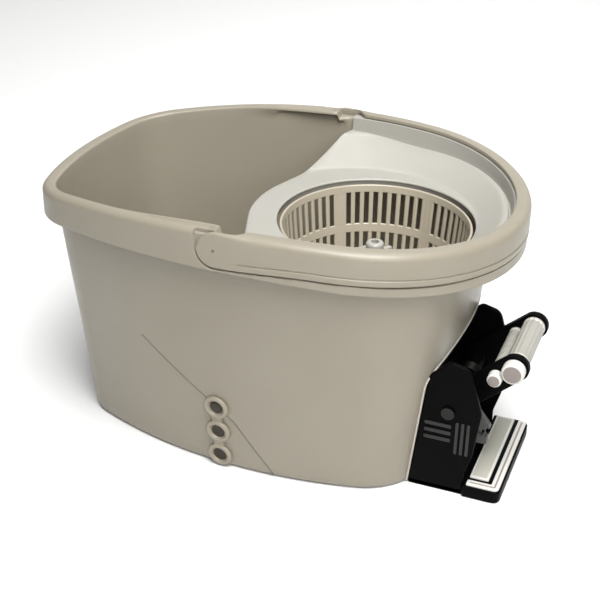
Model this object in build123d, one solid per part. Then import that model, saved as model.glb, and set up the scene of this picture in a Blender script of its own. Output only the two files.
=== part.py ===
"""Spin mop bucket: a moulded tub with a wringing basket at one end and a foot pedal that spins it.

Millimetres, +Z up, +X towards the basket and pedal end, +Y away from the drain side.
Every piece is drawn about the basket's axis and moved at the end, so that the origin is at the
bottom centre of the whole bucket.
"""
import os
from math import acos, asin, atan2, ceil, cos, pi, radians, sin, sqrt, tan

from build123d import *

# Rim outline from above: a nose arc, two corner arcs, two side arcs and one round end
NOSE_REACH = 332.0
END_REACH = 147.5
RIM_WIDTH = 344.0
WIDEST_X = -79.0
SIDE_RADIUS = 500.0
CORNER_RADIUS = 75.0
NOSE_RADIUS = 300.0

# Rim top, an arc seen from the side
RIM_TOP = 279.0
ARCH_X = -58.0
ARCH_RADIUS = 1650.0

# Tub walls
WALL = 3.0
BASE_INSET = 39.0
NECK_INSET = 13.5
NECK_HEIGHT = 235.0
HEM_X = -114.0
HEM_RADIUS = 2000.0
HEM_DROP = 38.9
RIM_PLATE = 3.5
FLOOR_Z = 30.0
FLOOR = 3.5

# Blunter end of the walls, below a shoulder that the apron and the tray hide
BODY_REACH = 126.0
BODY_END_RADIUS = 400.0
BODY_CORNER_RADIUS = 110.0
SHOULDER_DROP = 3.0

# Niche under the round end, where the pedal sits
NICHE_FOOT_X = 72.0
NICHE_KNEE_X = 86.0
NICHE_KNEE_Z = 127.0
NICHE_ROOF_RUN = 80.0

# Carrying bail on the rim of the round end
PIVOT_X = -96.0
PIVOT_DROP = 17.5
BAIL_WALL = 4.5
BAIL_DROP = 31.0
BAIL_TOP = 3.5
BAIL_FLANGE = 15.0
BAIL_EYE_R = 17.0
BAIL_FLANGE_START = 24.0
BAIL_GAP = 1.2
BAIL_EYE_GAP = 1.2
BAIL_PIN_R = 4.5
BAIL_PIN_GRIP = 3.0
BAIL_PIN_SEAT = 6.5
BAIL_PIN_END_GAP = 0.5
BAIL_SWING = 95.0
PIN_PLAY = 0.06
LEDGE_INSET = 1.0

# Splash tray round the basket
HOLE_R = 97.0
TRAY_DEPTH = 46.0
TRAY_WALL = 2.6
TRAY_FLAT = 1.0
TRAY_SLOPE = 0.67
TRAY_EDGE_DROP = 18.0
TRAY_NOSE_R = 126.0
TRAY_EDGE_X = -80.0
TRAY_EDGE_Y = 155.0
TRAY_LIP = 1.8
TRAY_LIP_WIDTH = 5.0
TRAY_SKIRT = 10.0
TRAY_COLLAR = 6.0
TRAY_PLAY = 0.4

# Wringing basket
BASKET_R = 94.5
BASKET_FOOT_R = 82.0
BASKET_KNEE_R = 87.5
BASKET_DROP = 2.0
BASKET_KNEE_RISE = 9.0
BASKET_DEPTH = 90.0
BASKET_WALL = 2.5
BASKET_BAND = 8.0
SLOT_COUNT = 60
SLOT_WIDTH = 5.0
UPPER_SLOT = 34.5
SLOT_BREAK = 9.5
PILLARS = 6
FIRST_PILLAR = 2
FLOOR_SLOT_WIDTH = 2.6
FLOOR_SLOT_R_LOW = 47.0
FLOOR_SLOT_R_HIGH = 77.0
HUB_DROP = 42.5
HUB_TOP_R = 26.0
HUB_FOOT_R = 38.0
HUB_R = 18.0
SPIGOT_BASE_R = 24.0
SPIGOT_BASE = 5.0
SPIGOT_R = 9.0
SPIGOT_HEIGHT = 20.0
SPIGOT_FINS = 6
SPIGOT_FIN_WIDTH = 5.0
SPIGOT_FIN_HEIGHT = 9.0
SPIGOT_NECK_R = 8.5
SPIGOT_NECK = 10.0

# Shaft, its column and its bearings
SHAFT_R = 4.0
SHAFT_TOP_GRIP = 12.0
BUSH_PLAY = 0.05
AXIAL_PLAY = 0.2
COLUMN_FOOT_R = 34.0
COLUMN_TOP_R = 20.0
COLUMN_DROP = 8.0
UPPER_BUSH_R = 8.0
UPPER_BUSH_LENGTH = 20.0
BUSH_FLANGE_R = 12.0
BUSH_FLANGE = 2.0
WASHER = 1.5

# Gear bay under the tub's floor
BAY_X_LOW = -76.0
BAY_Y_LOW = -62.0
BAY_Y_HIGH = 26.0
BAY_TOP = 50.0
COVER_Z = 14.0
COVER = 3.0
COVER_WALL = 2.5
FOOTSTEP_R = 8.0
FOOTSTEP_HEIGHT = 3.0
BOSS_R = 6.0
SCREW_R = 2.0
SCREW_HEAD_R = 4.0
SCREW_HEAD = 2.5
SCREW_LENGTH = 12.0
SCREW_PLAY = 0.05

# Gear train
MODULE = 1.5
PRESSURE_ANGLE = 20.0
ADDENDUM = 0.8
DEDENDUM = 1.05
BACKLASH = 0.3
SHAFT_TEETH = 14
WHEEL_TEETH = 40
PINION_TEETH = 12
SECTOR_TEETH = 68
SHAFT_GEAR_FACE = 8.0
WHEEL_FACE = 6.0
PINION_FACE = 10.0
IDLER_Y = -22.0
IDLER_PIN_R = 3.0
DRUM_R = 14.0
DRUM_POCKET_R = 11.0
DRUM_HEIGHT = 8.0
RATCHET_R = 8.0
RATCHET_TEETH = 8
RATCHET_DEPTH = 1.6
PAWL_LENGTH = 7.0
PAWL_WIDTH = 1.6

# Rack
RACK_Z = 31.0
RACK_HEIGHT = 7.5
RACK_WIDTH = 9.0
RACK_GUIDE_WALL = 2.5
RACK_PLAY = 0.4
GUIDE_X_LOW = 12.0
GUIDE_X_HIGH = 62.0

# Pedal
PEDAL_X = 108.0
PEDAL_TRAVEL = 28.0
AXLE_R = 5.0
AXLE_HEAD_R = 6.5
AXLE_HEAD = 3.0
AXLE_NUT = 5.0
PEDAL_HUB_R = 9.0
ARM = 8.0
ARM_FRONT_Y = -66.0
ARM_REAR_Y = 20.0
ARM_PIVOT_R = 14.0
OUTER_BAR_X = 162.0
OUTER_BAR_Z = 139.0
OUTER_BAR_R = 11.0
INNER_BAR_X = 145.5
INNER_BAR_Z = 128.0
INNER_BAR_R = 7.0
SLEEVE_WALL = 3.5
BAR_EYE_WALL = 2.5
BAR_CAP = 11.0
SLEEVE_PLAY = 0.3
SECTOR_FACE = 7.0
SECTOR_MARGIN = 4.0
SECTOR_WEB_R = 13.0

# Pedal housing and step plate
HOUSING_FRONT_Y = -89.0
HOUSING_REAR_Y = 37.0
CHEEK = 5.0
CHEEK_GAP = 0.5
HOUSING_BACK = 4.0
HOUSING_SEAT_GAP = 0.3
HOUSING_BASE = 5.0
HOUSING_TOP_RISE = 19.0
CHEEK_TOP_X = 125.0
CHEEK_NOSE_X = 140.0
CHEEK_NOSE_RISE = 4.0
CHEEK_WAIST_X = 134.0
CHEEK_WAIST_Z = 45.0
HOUSING_END_X = 127.5
HOUSING_SCREW_Z_LOW = 10.0
HOUSING_SCREW_Z_HIGH = 24.0
STEP_END_X = 165.0
STEP_FRONT_Y = -92.0
STEP_REAR_Y = 42.0
STEP_HEIGHT = 12.0
STEP_CORNER = 8.0
STEP_GAP = 0.5
TONGUE = 3.0
TONGUE_LENGTH = 20.0
STEP_SCREW_Y = (-60.0, 12.0)
PAD_RISE = 2.0
PAD_SINK = 2.0
PAD_MARGIN = 3.0
INNER_PAD_X = 134.0
INNER_PAD_WIDTH = 15.0
PAD_BREAK = 6.0
OUTER_PAD_WIDTH = 7.5

# Return spring on the pedal's hub
SPRING_WIRE_R = 1.0
SPRING_TURNS = 5
SPRING_GAP = 0.6
SPRING_PLAY = 1.0
SPRING_Y = -8.0

# Drain in the front wall
DRAIN_X = -110.0
DRAIN_Z = 44.0
DRAIN_R = 7.5
DRAIN_PITCH = 30.0
RING_R = 13.0
STRAP = 2.5
STRAP_NECK = 11.0
PLUG_R = 6.9
PLUG_TIP_R = 5.8
PLUG_DEPTH = 5.0
FINGER_HOLE_R = 7.0
RING_EDGE = 2.0
RING_RISE = 1.2
RIVET_R = 3.0
RIVET_HEAD_R = 6.5
RIVET_HEAD = 2.0
STRAP_GAP = 0.3

# Worked out from the sizes above
HALF_WIDTH = RIM_WIDTH / 2
END_SPAN = END_REACH - WIDEST_X
END_RADIUS = (2 * SIDE_RADIUS * HALF_WIDTH - HALF_WIDTH**2 - END_SPAN**2) / (2 * (SIDE_RADIUS - END_SPAN))
PEDAL_REACH = OUTER_BAR_X + OUTER_BAR_R + BAR_EYE_WALL
SHIFT_X = (NOSE_REACH - PEDAL_REACH) / 2
TRAY_Z = RIM_TOP - TRAY_DEPTH
SHOULDER_Z = TRAY_Z - SHOULDER_DROP
BASKET_TOP = TRAY_Z - BASKET_DROP
BASKET_FLOOR_Z = BASKET_TOP - BASKET_DEPTH
HUB_Z = BASKET_TOP - HUB_DROP
COLUMN_TOP_Z = HUB_Z - COLUMN_DROP
COVER_TOP = COVER_Z + COVER
SHAFT_GEAR_Z = COVER_TOP + FOOTSTEP_HEIGHT + AXIAL_PLAY
SHAFT_PITCH_R = MODULE * SHAFT_TEETH / 2
WHEEL_PITCH_R = MODULE * WHEEL_TEETH / 2
PINION_PITCH_R = MODULE * PINION_TEETH / 2
SECTOR_PITCH_R = MODULE * SECTOR_TEETH / 2
IDLER_X = -sqrt((SHAFT_PITCH_R + WHEEL_PITCH_R)**2 - IDLER_Y**2)
WHEEL_Z = SHAFT_GEAR_Z + (SHAFT_GEAR_FACE - WHEEL_FACE) / 2
PINION_Z = WHEEL_Z + WHEEL_FACE
RACK_PITCH_Y = IDLER_Y - PINION_PITCH_R
RACK_ROOT_Y = RACK_PITCH_Y - DEDENDUM * MODULE
RACK_ROOT_Z = RACK_Z + RACK_HEIGHT
RACK_PITCH_Z = RACK_ROOT_Z + DEDENDUM * MODULE
RACK_MID_Y = RACK_ROOT_Y - RACK_WIDTH / 2
RACK_TRAVEL = SECTOR_PITCH_R * radians(PEDAL_TRAVEL)
RACK_LEFT = IDLER_X - 2 * MODULE * pi
RACK_RIGHT = PEDAL_X + RACK_TRAVEL + MODULE * pi
PEDAL_Z = RACK_PITCH_Z + SECTOR_PITCH_R
RIM_STEP = BAIL_TOP + BAIL_GAP + TRAY_LIP
BAIL_SEAT = BAIL_WALL + BAIL_GAP
PIVOT_Z = RIM_TOP - ARCH_RADIUS + sqrt(ARCH_RADIUS**2 - (PIVOT_X - ARCH_X)**2) - PIVOT_DROP
HUB_FOOT_Z = COLUMN_TOP_Z + BUSH_FLANGE + WASHER + AXIAL_PLAY
SHAFT_TOP = HUB_Z + BASKET_WALL + SHAFT_TOP_GRIP
DRAFT = (BASE_INSET - NECK_INSET) / NECK_HEIGHT
ABOVE = RIM_TOP + 20
FAR = RIM_WIDTH


def unit(start, end):
    """Direction from one plan point to another."""
    length = sqrt((end[0] - start[0])**2 + (end[1] - start[1])**2)
    return ((end[0] - start[0]) / length, (end[1] - start[1]) / length)


def meeting(end_c, end_radius, radius, turn):
    """Centre of the corner arc that touches a side's arc and an end's arc, both from inside."""
    side_c = (WIDEST_X, HALF_WIDTH - SIDE_RADIUS)
    far = SIDE_RADIUS - radius
    near = end_radius - radius
    gap = sqrt((side_c[0] - end_c[0])**2 + side_c[1]**2)
    along = (near**2 - far**2 + gap**2) / (2 * gap)
    aside = turn * sqrt(near**2 - along**2)
    to_side = unit(end_c, side_c)
    return (end_c[0] + along * to_side[0] + aside * to_side[1], along * to_side[1] - aside * to_side[0])


def outline(inset, z=0.0, blunt=False):
    """Rim outline moved inwards by inset, or the walls' blunter one: every arc keeps its centre."""
    side_c = (WIDEST_X, HALF_WIDTH - SIDE_RADIUS)
    nose_c = (NOSE_RADIUS - NOSE_REACH, 0.0)
    nose_corner_c = meeting(nose_c, NOSE_RADIUS, CORNER_RADIUS, 1)
    end_reach = BODY_REACH if blunt else END_REACH
    end_radius = BODY_END_RADIUS if blunt else END_RADIUS
    end_c = (end_reach - end_radius, 0.0)
    end_corner_c = meeting(end_c, end_radius, BODY_CORNER_RADIUS, -1) if blunt else end_c

    def on(centre, radius, direction, side=1):
        reach = radius - inset
        return (centre[0] + reach * direction[0], side * (centre[1] + reach * direction[1]), z)

    def arc(centre, radius, first, second, side):
        middle = unit((0, 0), (first[0] + second[0], first[1] + second[1]))
        return ThreePointArc(on(centre, radius, first, side), on(centre, radius, middle, side),
                             on(centre, radius, second, side))

    start_dir = unit(side_c, end_corner_c)
    end_dir = unit(end_c, end_corner_c) if blunt else start_dir
    side_dir = unit(side_c, nose_corner_c)
    nose_dir = unit(nose_c, nose_corner_c)
    arcs = [ThreePointArc(on(end_c, end_radius, end_dir, -1), (end_reach - inset, 0, z),
                          on(end_c, end_radius, end_dir))]
    arcs.append(ThreePointArc(on(nose_c, NOSE_RADIUS, nose_dir), (inset - NOSE_REACH, 0, z),
                              on(nose_c, NOSE_RADIUS, nose_dir, -1)))
    for side in (1, -1):
        if blunt:
            arcs.append(arc(end_corner_c, BODY_CORNER_RADIUS, end_dir, start_dir, side))
        arcs.append(arc(side_c, SIDE_RADIUS, start_dir, side_dir, side))
        arcs.append(arc(nose_corner_c, CORNER_RADIUS, side_dir, nose_dir, side))
    return Face(Wire(arcs))


def prism(inset):
    """Straight column of the rim outline, from below the floor to above the rim."""
    return Pos(0, 0, -FLOOR) * extrude(outline(inset), ABOVE + FLOOR)


def wall_inset(z):
    """How far the tub's outer wall stands inside the rim outline at a height."""
    return BASE_INSET - DRAFT * z


def tapered(extra, z_low, z_high, blunt=False):
    """Space inside the tub's outer wall, made smaller by extra all round."""
    low = outline(wall_inset(z_low) + extra, z_low, blunt)
    high = outline(wall_inset(z_high) + extra, z_high, blunt)
    return loft([low, high], ruled=True)


def arch(top, bottom):
    """Arched slab across the whole width, from top to bottom below the rim's top line."""
    ring = Circle(ARCH_RADIUS - top) - Circle(ARCH_RADIUS - bottom)
    return extrude(Plane.XZ * Pos(ARCH_X, RIM_TOP - ARCH_RADIUS) * ring, FAR, both=True)


def above_hem():
    """Space above the apron's hem, an arc of its own that falls away from the rim towards the pedal."""
    below = crosswise(HEM_X, RIM_TOP - HEM_DROP - HEM_RADIUS, HEM_RADIUS, -FAR, FAR)
    return block((-FAR, -FAR, 0), (FAR, FAR, ABOVE)) - below


def block(low, high):
    """Box between two corners."""
    size = [high[i] - low[i] for i in range(3)]
    middle = [(high[i] + low[i]) / 2 for i in range(3)]
    return Pos(*middle) * Box(*size)


def right_of(x):
    """Half space towards the pedal, as a box."""
    return block((x, -FAR, -FLOOR), (FAR, FAR, ABOVE))


def upright(x, y, z, radius, height):
    """Cylinder standing on z."""
    return Pos(x, y, z + height / 2) * Cylinder(radius, height)


def crosswise(x, z, radius, y_low, y_high):
    """Cylinder lying along Y."""
    return Pos(x, (y_low + y_high) / 2, z) * Rot(90, 0, 0) * Cylinder(radius, y_high - y_low)


def across(profile, y_low, y_high):
    """Profile drawn in X and Z, carried along Y."""
    return extrude(Plane((0, y_high, 0), x_dir=(1, 0, 0), z_dir=(0, -1, 0)) * profile, y_high - y_low)


def niche(extra):
    """Space cut out under the round end, made larger by extra: a leaning wall, then a roof at 45 degrees."""
    lean = (NICHE_KNEE_X - NICHE_FOOT_X) / NICHE_KNEE_Z
    back = extra * sqrt(1 + lean**2)
    rise = (extra * sqrt(2) - back) / (1 - lean)
    knee = (NICHE_KNEE_X - back + lean * rise, NICHE_KNEE_Z + rise)
    roof_z = knee[1] + NICHE_ROOF_RUN
    profile = Polyline((NICHE_FOOT_X - back - lean * FLOOR, -FLOOR), knee, (knee[0] + NICHE_ROOF_RUN, roof_z),
                       (FAR, roof_z), (FAR, -FLOOR), close=True)
    return across(make_face(profile), -FAR, FAR)


def niche_wall_x(z):
    """Where the niche's leaning wall stands at a height."""
    return NICHE_FOOT_X + (NICHE_KNEE_X - NICHE_FOOT_X) * z / NICHE_KNEE_Z


def wall_plane():
    """Plane on the front wall at the drain: x along the wall, y up it, z out of it."""
    side_y = HALF_WIDTH - SIDE_RADIUS
    reach = SIDE_RADIUS - wall_inset(DRAIN_Z)
    lean = (DRAIN_X - WIDEST_X) / reach
    level = sqrt(1 - lean**2)
    point = (DRAIN_X, -(side_y + reach * level), DRAIN_Z)
    out = Vector(lean, -level, -DRAFT).normalized()
    return Plane(point, x_dir=(level, lean, 0), z_dir=out)


COVER_BOSSES = [(x, y) for x in (BAY_X_LOW - BOSS_R, NICHE_FOOT_X - 2.5 * BOSS_R)
                for y in (BAY_Y_LOW - BOSS_R, BAY_Y_HIGH + BOSS_R)]
STEP_SCREWS = [(HOUSING_END_X - TONGUE_LENGTH / 2, y) for y in STEP_SCREW_Y]
BARS = [(OUTER_BAR_X, OUTER_BAR_Z, OUTER_BAR_R), (INNER_BAR_X, INNER_BAR_Z, INNER_BAR_R)]
HOUSING_SCREWS = [(y, z) for y in (HOUSING_FRONT_Y + 2.5 * CHEEK, HOUSING_REAR_Y - 2.5 * CHEEK)
                  for z in (HOUSING_SCREW_Z_LOW, HOUSING_SCREW_Z_HIGH)]


# Tub

def bucket_tub():
    """One moulding: drafted walls, raised floor, gear bay, column, apron and the bail's seat."""
    inside = tapered(WALL, FLOOR_Z + FLOOR, SHOULDER_Z, True) + tapered(WALL, SHOULDER_Z, ABOVE)
    inside = inside - niche(WALL)
    below = tapered(WALL, -FLOOR, FLOOR_Z, True) - niche(WALL)
    outside = tapered(0, 0, SHOULDER_Z, True) + tapered(0, SHOULDER_Z - WALL, ABOVE) - niche(0)
    inner_half = tapered(WALL / 2, FLOOR_Z, ABOVE)

    hung = arch(0, RIM_TOP) & above_hem()
    apron = (prism(0) - prism(WALL)) & hung
    plate = (prism(0) - inner_half) & arch(0, RIM_PLATE)
    left = (apron + plate) - right_of(PIVOT_X)
    seat = prism(BAIL_SEAT)
    skirt_end = PIVOT_X - BAIL_EYE_R - BAIL_EYE_GAP - 3 * WALL
    skirt = (seat - prism(BAIL_SEAT + WALL)) & hung & right_of(skirt_end)
    skirt = skirt & arch(RIM_STEP, RIM_TOP)
    shelf = (seat - inner_half) & arch(RIM_STEP, RIM_STEP + RIM_PLATE) & right_of(PIVOT_X)
    ledge = (prism(LEDGE_INSET) - prism(BAIL_SEAT + WALL))
    ledge = ledge & hung & arch(BAIL_DROP + BAIL_GAP, RIM_TOP) & right_of(PIVOT_X)

    shell = (outside - inside - below) & arch(0, RIM_TOP + 2 * FLOOR)
    step = arch(-FLOOR * 4, RIM_STEP) & right_of(PIVOT_X)
    tub = shell - step + left + skirt + shelf + ledge

    bay = block((BAY_X_LOW, BAY_Y_LOW, FLOOR_Z), (NICHE_KNEE_X, BAY_Y_HIGH, BAY_TOP)) - niche(0)
    column = Pos(0, 0, BAY_TOP) * Cone(COLUMN_FOOT_R, COLUMN_TOP_R, COLUMN_TOP_Z - BAY_TOP,
                                       align=(Align.CENTER, Align.CENTER, Align.MIN))
    tub = tub + bay + column
    room = block((BAY_X_LOW + WALL, BAY_Y_LOW + WALL, -FLOOR),
                 (NICHE_KNEE_X, BAY_Y_HIGH - WALL, BAY_TOP - WALL))
    bush_foot = COLUMN_TOP_Z - UPPER_BUSH_LENGTH
    core = Cone(COLUMN_FOOT_R - WALL, COLUMN_TOP_R - WALL, bush_foot - BAY_TOP + WALL,
                align=(Align.CENTER, Align.CENTER, Align.MIN))
    tub = tub - (room - niche(WALL)) - Pos(0, 0, BAY_TOP - WALL - 1) * core
    tub = tub - upright(0, 0, bush_foot - WALL, UPPER_BUSH_R, UPPER_BUSH_LENGTH * 2)

    for x, y in COVER_BOSSES:
        tub = tub + upright(x, y, COVER_TOP, BOSS_R, FLOOR_Z - COVER_TOP)
        tub = tub - upright(x, y, 0, SCREW_R + SCREW_PLAY, COVER_TOP + SCREW_LENGTH - COVER)
    tub = tub + upright(IDLER_X, IDLER_Y, PINION_Z + PINION_FACE + AXIAL_PLAY, BOSS_R,
                        BAY_TOP - WALL - PINION_Z - PINION_FACE - AXIAL_PLAY)
    tub = tub - upright(IDLER_X, IDLER_Y, 0, IDLER_PIN_R, BAY_TOP - WALL)

    slot = block((0, RACK_MID_Y - RACK_WIDTH / 2 - RACK_PLAY - RACK_GUIDE_WALL, FLOOR_Z + RACK_PLAY),
                 (NICHE_KNEE_X, RACK_PITCH_Y + ADDENDUM * MODULE + RACK_PLAY + RACK_GUIDE_WALL,
                  RACK_PITCH_Z + ADDENDUM * MODULE + RACK_PLAY))
    tub = tub - slot
    for y, z in HOUSING_SCREWS:
        tub = tub - extrude(niche_plane(y, z) * Circle(SCREW_R + SCREW_PLAY), 2 * WALL, both=True)

    swung = block((0, -FAR, PIVOT_DROP - BAIL_DROP), (2 * BAIL_EYE_R, FAR, PIVOT_DROP + BAIL_EYE_GAP))
    eye = crosswise(PIVOT_X, PIVOT_Z, BAIL_EYE_R + BAIL_EYE_GAP, -FAR, FAR)
    eye = eye + Pos(PIVOT_X, 0, PIVOT_Z) * Rot(0, -BAIL_SWING, 0) * swung - seat
    pins = crosswise(PIVOT_X, PIVOT_Z, BAIL_PIN_R, -FAR, FAR) - prism(BAIL_SEAT + BAIL_PIN_SEAT)
    tub = tub - eye
    boss = crosswise(PIVOT_X, PIVOT_Z, BAIL_PIN_R + WALL, -FAR, FAR)
    tub = tub + ((boss & seat) - prism(BAIL_SEAT + BAIL_PIN_SEAT + WALL)) - pins

    drain = wall_plane()
    tub = tub - extrude(drain * Circle(DRAIN_R), 2 * WALL, both=True)
    tub = tub - extrude(drain * Pos(0, DRAIN_PITCH) * Circle(RIVET_R), 2 * WALL, both=True)
    return tub


def bail_pins():
    """Two pins pressed into the rim: the bail's blind eyes turn on them."""
    lie = crosswise(PIVOT_X, PIVOT_Z, BAIL_PIN_R, -FAR, FAR)
    return (lie & prism(BAIL_SEAT - BAIL_PIN_GRIP)) - prism(BAIL_SEAT + BAIL_PIN_SEAT)


def bail_handle():
    """Carrying bail: a band round the end's rim with a flange over its top."""
    band = (prism(0) - prism(BAIL_WALL)) & arch(0, BAIL_DROP) & right_of(PIVOT_X)
    flange = (prism(0) - prism(BAIL_FLANGE)) & arch(0, BAIL_TOP) & right_of(PIVOT_X + BAIL_FLANGE_START)
    eyes = crosswise(PIVOT_X, PIVOT_Z, BAIL_EYE_R, -FAR, FAR) & (prism(0) - prism(BAIL_WALL))
    hole = crosswise(PIVOT_X, PIVOT_Z, BAIL_PIN_R + PIN_PLAY, -FAR, FAR)
    hole = hole & prism(BAIL_SEAT - BAIL_PIN_GRIP - BAIL_PIN_END_GAP)
    return band + flange + eyes - hole


# Splash tray

def dish(low, high):
    """Bowl about the round end's centre: level past the hole, then rising outwards."""
    end_x = END_REACH - END_RADIUS
    flat_r = HOLE_R - end_x + TRAY_FLAT
    far_z = TRAY_Z + TRAY_SLOPE * (FAR - flat_r)
    profile = Polyline((0, TRAY_Z + low), (flat_r, TRAY_Z + low), (FAR, far_z + low), (FAR, far_z + high),
                       (flat_r, TRAY_Z + high), (0, TRAY_Z + high), close=True)
    return Pos(end_x, 0, 0) * revolve(Plane.XZ * make_face(profile), Axis.Z)


def tray_sheet(low, high):
    """Sheet that follows the dish, or the rim's line where the dish would rise past it."""
    drop = TRAY_EDGE_DROP + TRAY_WALL
    ledge = arch(drop - high, drop - low) & dish(-RIM_TOP, high)
    return (dish(low, high) & arch(drop - high, RIM_TOP)) + ledge


def splash_tray():
    """Insert over the basket end: dished plate, border up the tub's wall and a lip on the rim."""
    turn = atan2(TRAY_EDGE_Y, TRAY_EDGE_X) + acos(TRAY_NOSE_R / sqrt(TRAY_EDGE_X**2 + TRAY_EDGE_Y**2))
    touch = (TRAY_NOSE_R * cos(turn), TRAY_NOSE_R * sin(turn))
    along = unit(touch, (TRAY_EDGE_X, TRAY_EDGE_Y))
    far = (touch[0] + FAR * along[0], touch[1] + FAR * along[1])
    sides = Polyline(touch, far, (FAR, far[1]), (FAR, -far[1]), (far[0], -far[1]), (touch[0], -touch[1]),
                     close=True)
    plan = Circle(TRAY_NOSE_R) + make_face(sides)
    region = extrude(plan, ABOVE)
    edge = region - extrude(offset(plan, -TRAY_WALL), ABOVE)
    z_low = TRAY_Z - TRAY_SKIRT
    space = tapered(WALL + TRAY_PLAY, z_low, ABOVE)
    border = space - tapered(WALL + TRAY_PLAY + TRAY_WALL, z_low, ABOVE)
    border = border & arch(RIM_STEP - TRAY_LIP, RIM_TOP)
    border = (border & region) - (dish(-RIM_TOP, 0) & arch(TRAY_EDGE_DROP + TRAY_WALL, RIM_TOP))
    hole = upright(0, 0, 0, HOLE_R, ABOVE)
    skirt = (edge & space & tray_sheet(-TRAY_SKIRT, TRAY_WALL)) - hole
    plate = (tray_sheet(0, TRAY_WALL) & space & region) - hole
    lip_inset = wall_inset(RIM_TOP) + WALL - TRAY_LIP_WIDTH
    lip = (prism(lip_inset) - tapered(WALL + TRAY_PLAY + TRAY_WALL, z_low, ABOVE))
    lip = lip & arch(RIM_STEP - TRAY_LIP, RIM_STEP) & region
    collar = upright(0, 0, TRAY_Z - TRAY_COLLAR, HOLE_R + TRAY_WALL, TRAY_COLLAR + TRAY_WALL) - hole
    return plate + border + lip + skirt + collar


# Basket and what turns with it

def spin_basket():
    """Bowl on a hollow hub over the column: two rows of slots in its wall, broken by plain pillars."""
    knee_z = BASKET_FLOOR_Z + BASKET_KNEE_RISE
    wall = BASKET_WALL
    floor_top = BASKET_FLOOR_Z + wall
    profile = Polyline((0, HUB_Z), (HUB_TOP_R, HUB_Z), (HUB_FOOT_R, BASKET_FLOOR_Z),
                       (BASKET_FOOT_R, BASKET_FLOOR_Z), (BASKET_KNEE_R, knee_z), (BASKET_R, BASKET_TOP),
                       (BASKET_R - wall, BASKET_TOP), (BASKET_KNEE_R - wall, knee_z),
                       (BASKET_FOOT_R - wall / 2, floor_top), (HUB_FOOT_R + wall, floor_top),
                       (HUB_TOP_R + wall, HUB_Z + wall), (0, HUB_Z + wall), close=True)
    bowl = revolve(Plane.XZ * make_face(profile), Axis.Z)
    slot_top = BASKET_TOP - BASKET_BAND
    rows = [(slot_top - UPPER_SLOT, slot_top), (knee_z, slot_top - UPPER_SLOT - SLOT_BREAK)]
    slots = [block((BASKET_KNEE_R - 2 * wall, -SLOT_WIDTH / 2, low), (BASKET_R + wall, SLOT_WIDTH / 2, high))
             for low, high in rows]
    slots.append(block((FLOOR_SLOT_R_LOW, -FLOOR_SLOT_WIDTH / 2, BASKET_FLOOR_Z - wall),
                       (FLOOR_SLOT_R_HIGH, FLOOR_SLOT_WIDTH / 2, floor_top + wall)))
    bay = SLOT_COUNT // PILLARS
    turns = [Rot(0, 0, 360 * i / SLOT_COUNT) for i in range(SLOT_COUNT) if i % bay != FIRST_PILLAR]
    bowl = bowl - [turn * slot for turn in turns for slot in slots]
    hub = upright(0, 0, HUB_FOOT_Z, HUB_R, HUB_Z - HUB_FOOT_Z + wall)
    return bowl + hub - upright(0, 0, 0, SHAFT_R, ABOVE)


def mop_spigot():
    """Finned centre on the basket's floor that the mop's plate drops over."""
    foot = HUB_Z + BASKET_WALL
    body = upright(0, 0, foot, SPIGOT_BASE_R, SPIGOT_BASE) + upright(0, 0, foot, SPIGOT_NECK_R, SPIGOT_NECK)
    body = body + upright(0, 0, foot + SPIGOT_NECK, SPIGOT_R, SPIGOT_HEIGHT - SPIGOT_NECK)
    fin = block((0, -SPIGOT_FIN_WIDTH / 2, foot),
                (SPIGOT_BASE_R - 2, SPIGOT_FIN_WIDTH / 2, foot + SPIGOT_FIN_HEIGHT))
    for i in range(SPIGOT_FINS):
        body = body + Rot(0, 0, 360 * i / SPIGOT_FINS) * fin
    return body - upright(0, 0, 0, SHAFT_R, SHAFT_TOP)


def drive_shaft():
    """Steel shaft from the footstep bearing to the spigot."""
    return upright(0, 0, COVER_TOP + AXIAL_PLAY, SHAFT_R, SHAFT_TOP - COVER_TOP - AXIAL_PLAY)


def upper_bush():
    """Flanged bush in the top of the column."""
    body = upright(0, 0, COLUMN_TOP_Z - UPPER_BUSH_LENGTH, UPPER_BUSH_R, UPPER_BUSH_LENGTH)
    body = body + upright(0, 0, COLUMN_TOP_Z, BUSH_FLANGE_R, BUSH_FLANGE)
    return body - upright(0, 0, 0, SHAFT_R + BUSH_PLAY, ABOVE)


def thrust_washer():
    """Washer that the basket's hub turns on."""
    ring = upright(0, 0, COLUMN_TOP_Z + BUSH_FLANGE, BUSH_FLANGE_R, WASHER)
    return ring - upright(0, 0, 0, SHAFT_R + 2 * BUSH_PLAY, ABOVE)


def footstep_bush():
    """Lower bearing of the shaft, on the gear cover."""
    bore = upright(0, 0, 0, SHAFT_R + BUSH_PLAY, ABOVE)
    return upright(0, 0, COVER_TOP, FOOTSTEP_R, FOOTSTEP_HEIGHT) - bore


def ratchet_z():
    """Foot of the clutch pocket in the shaft gear's drum."""
    return SHAFT_GEAR_Z + SHAFT_GEAR_FACE + BASKET_WALL / 2


def ratchet_wheel():
    """Saw-toothed wheel on the shaft: the pawls drive it one way and slip over it the other way."""
    points = []
    for i in range(RATCHET_TEETH):
        angle = 2 * pi * i / RATCHET_TEETH
        points.append(((RATCHET_R - RATCHET_DEPTH) * cos(angle), (RATCHET_R - RATCHET_DEPTH) * sin(angle)))
        points.append((RATCHET_R * cos(angle), RATCHET_R * sin(angle)))
    wheel = extrude(make_face(Polyline(*points, close=True)), DRUM_HEIGHT / 2)
    return Pos(0, 0, ratchet_z() + AXIAL_PLAY) * wheel - upright(0, 0, 0, SHAFT_R, ABOVE)


# Gears

def involute(angle):
    return tan(angle) - angle


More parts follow.
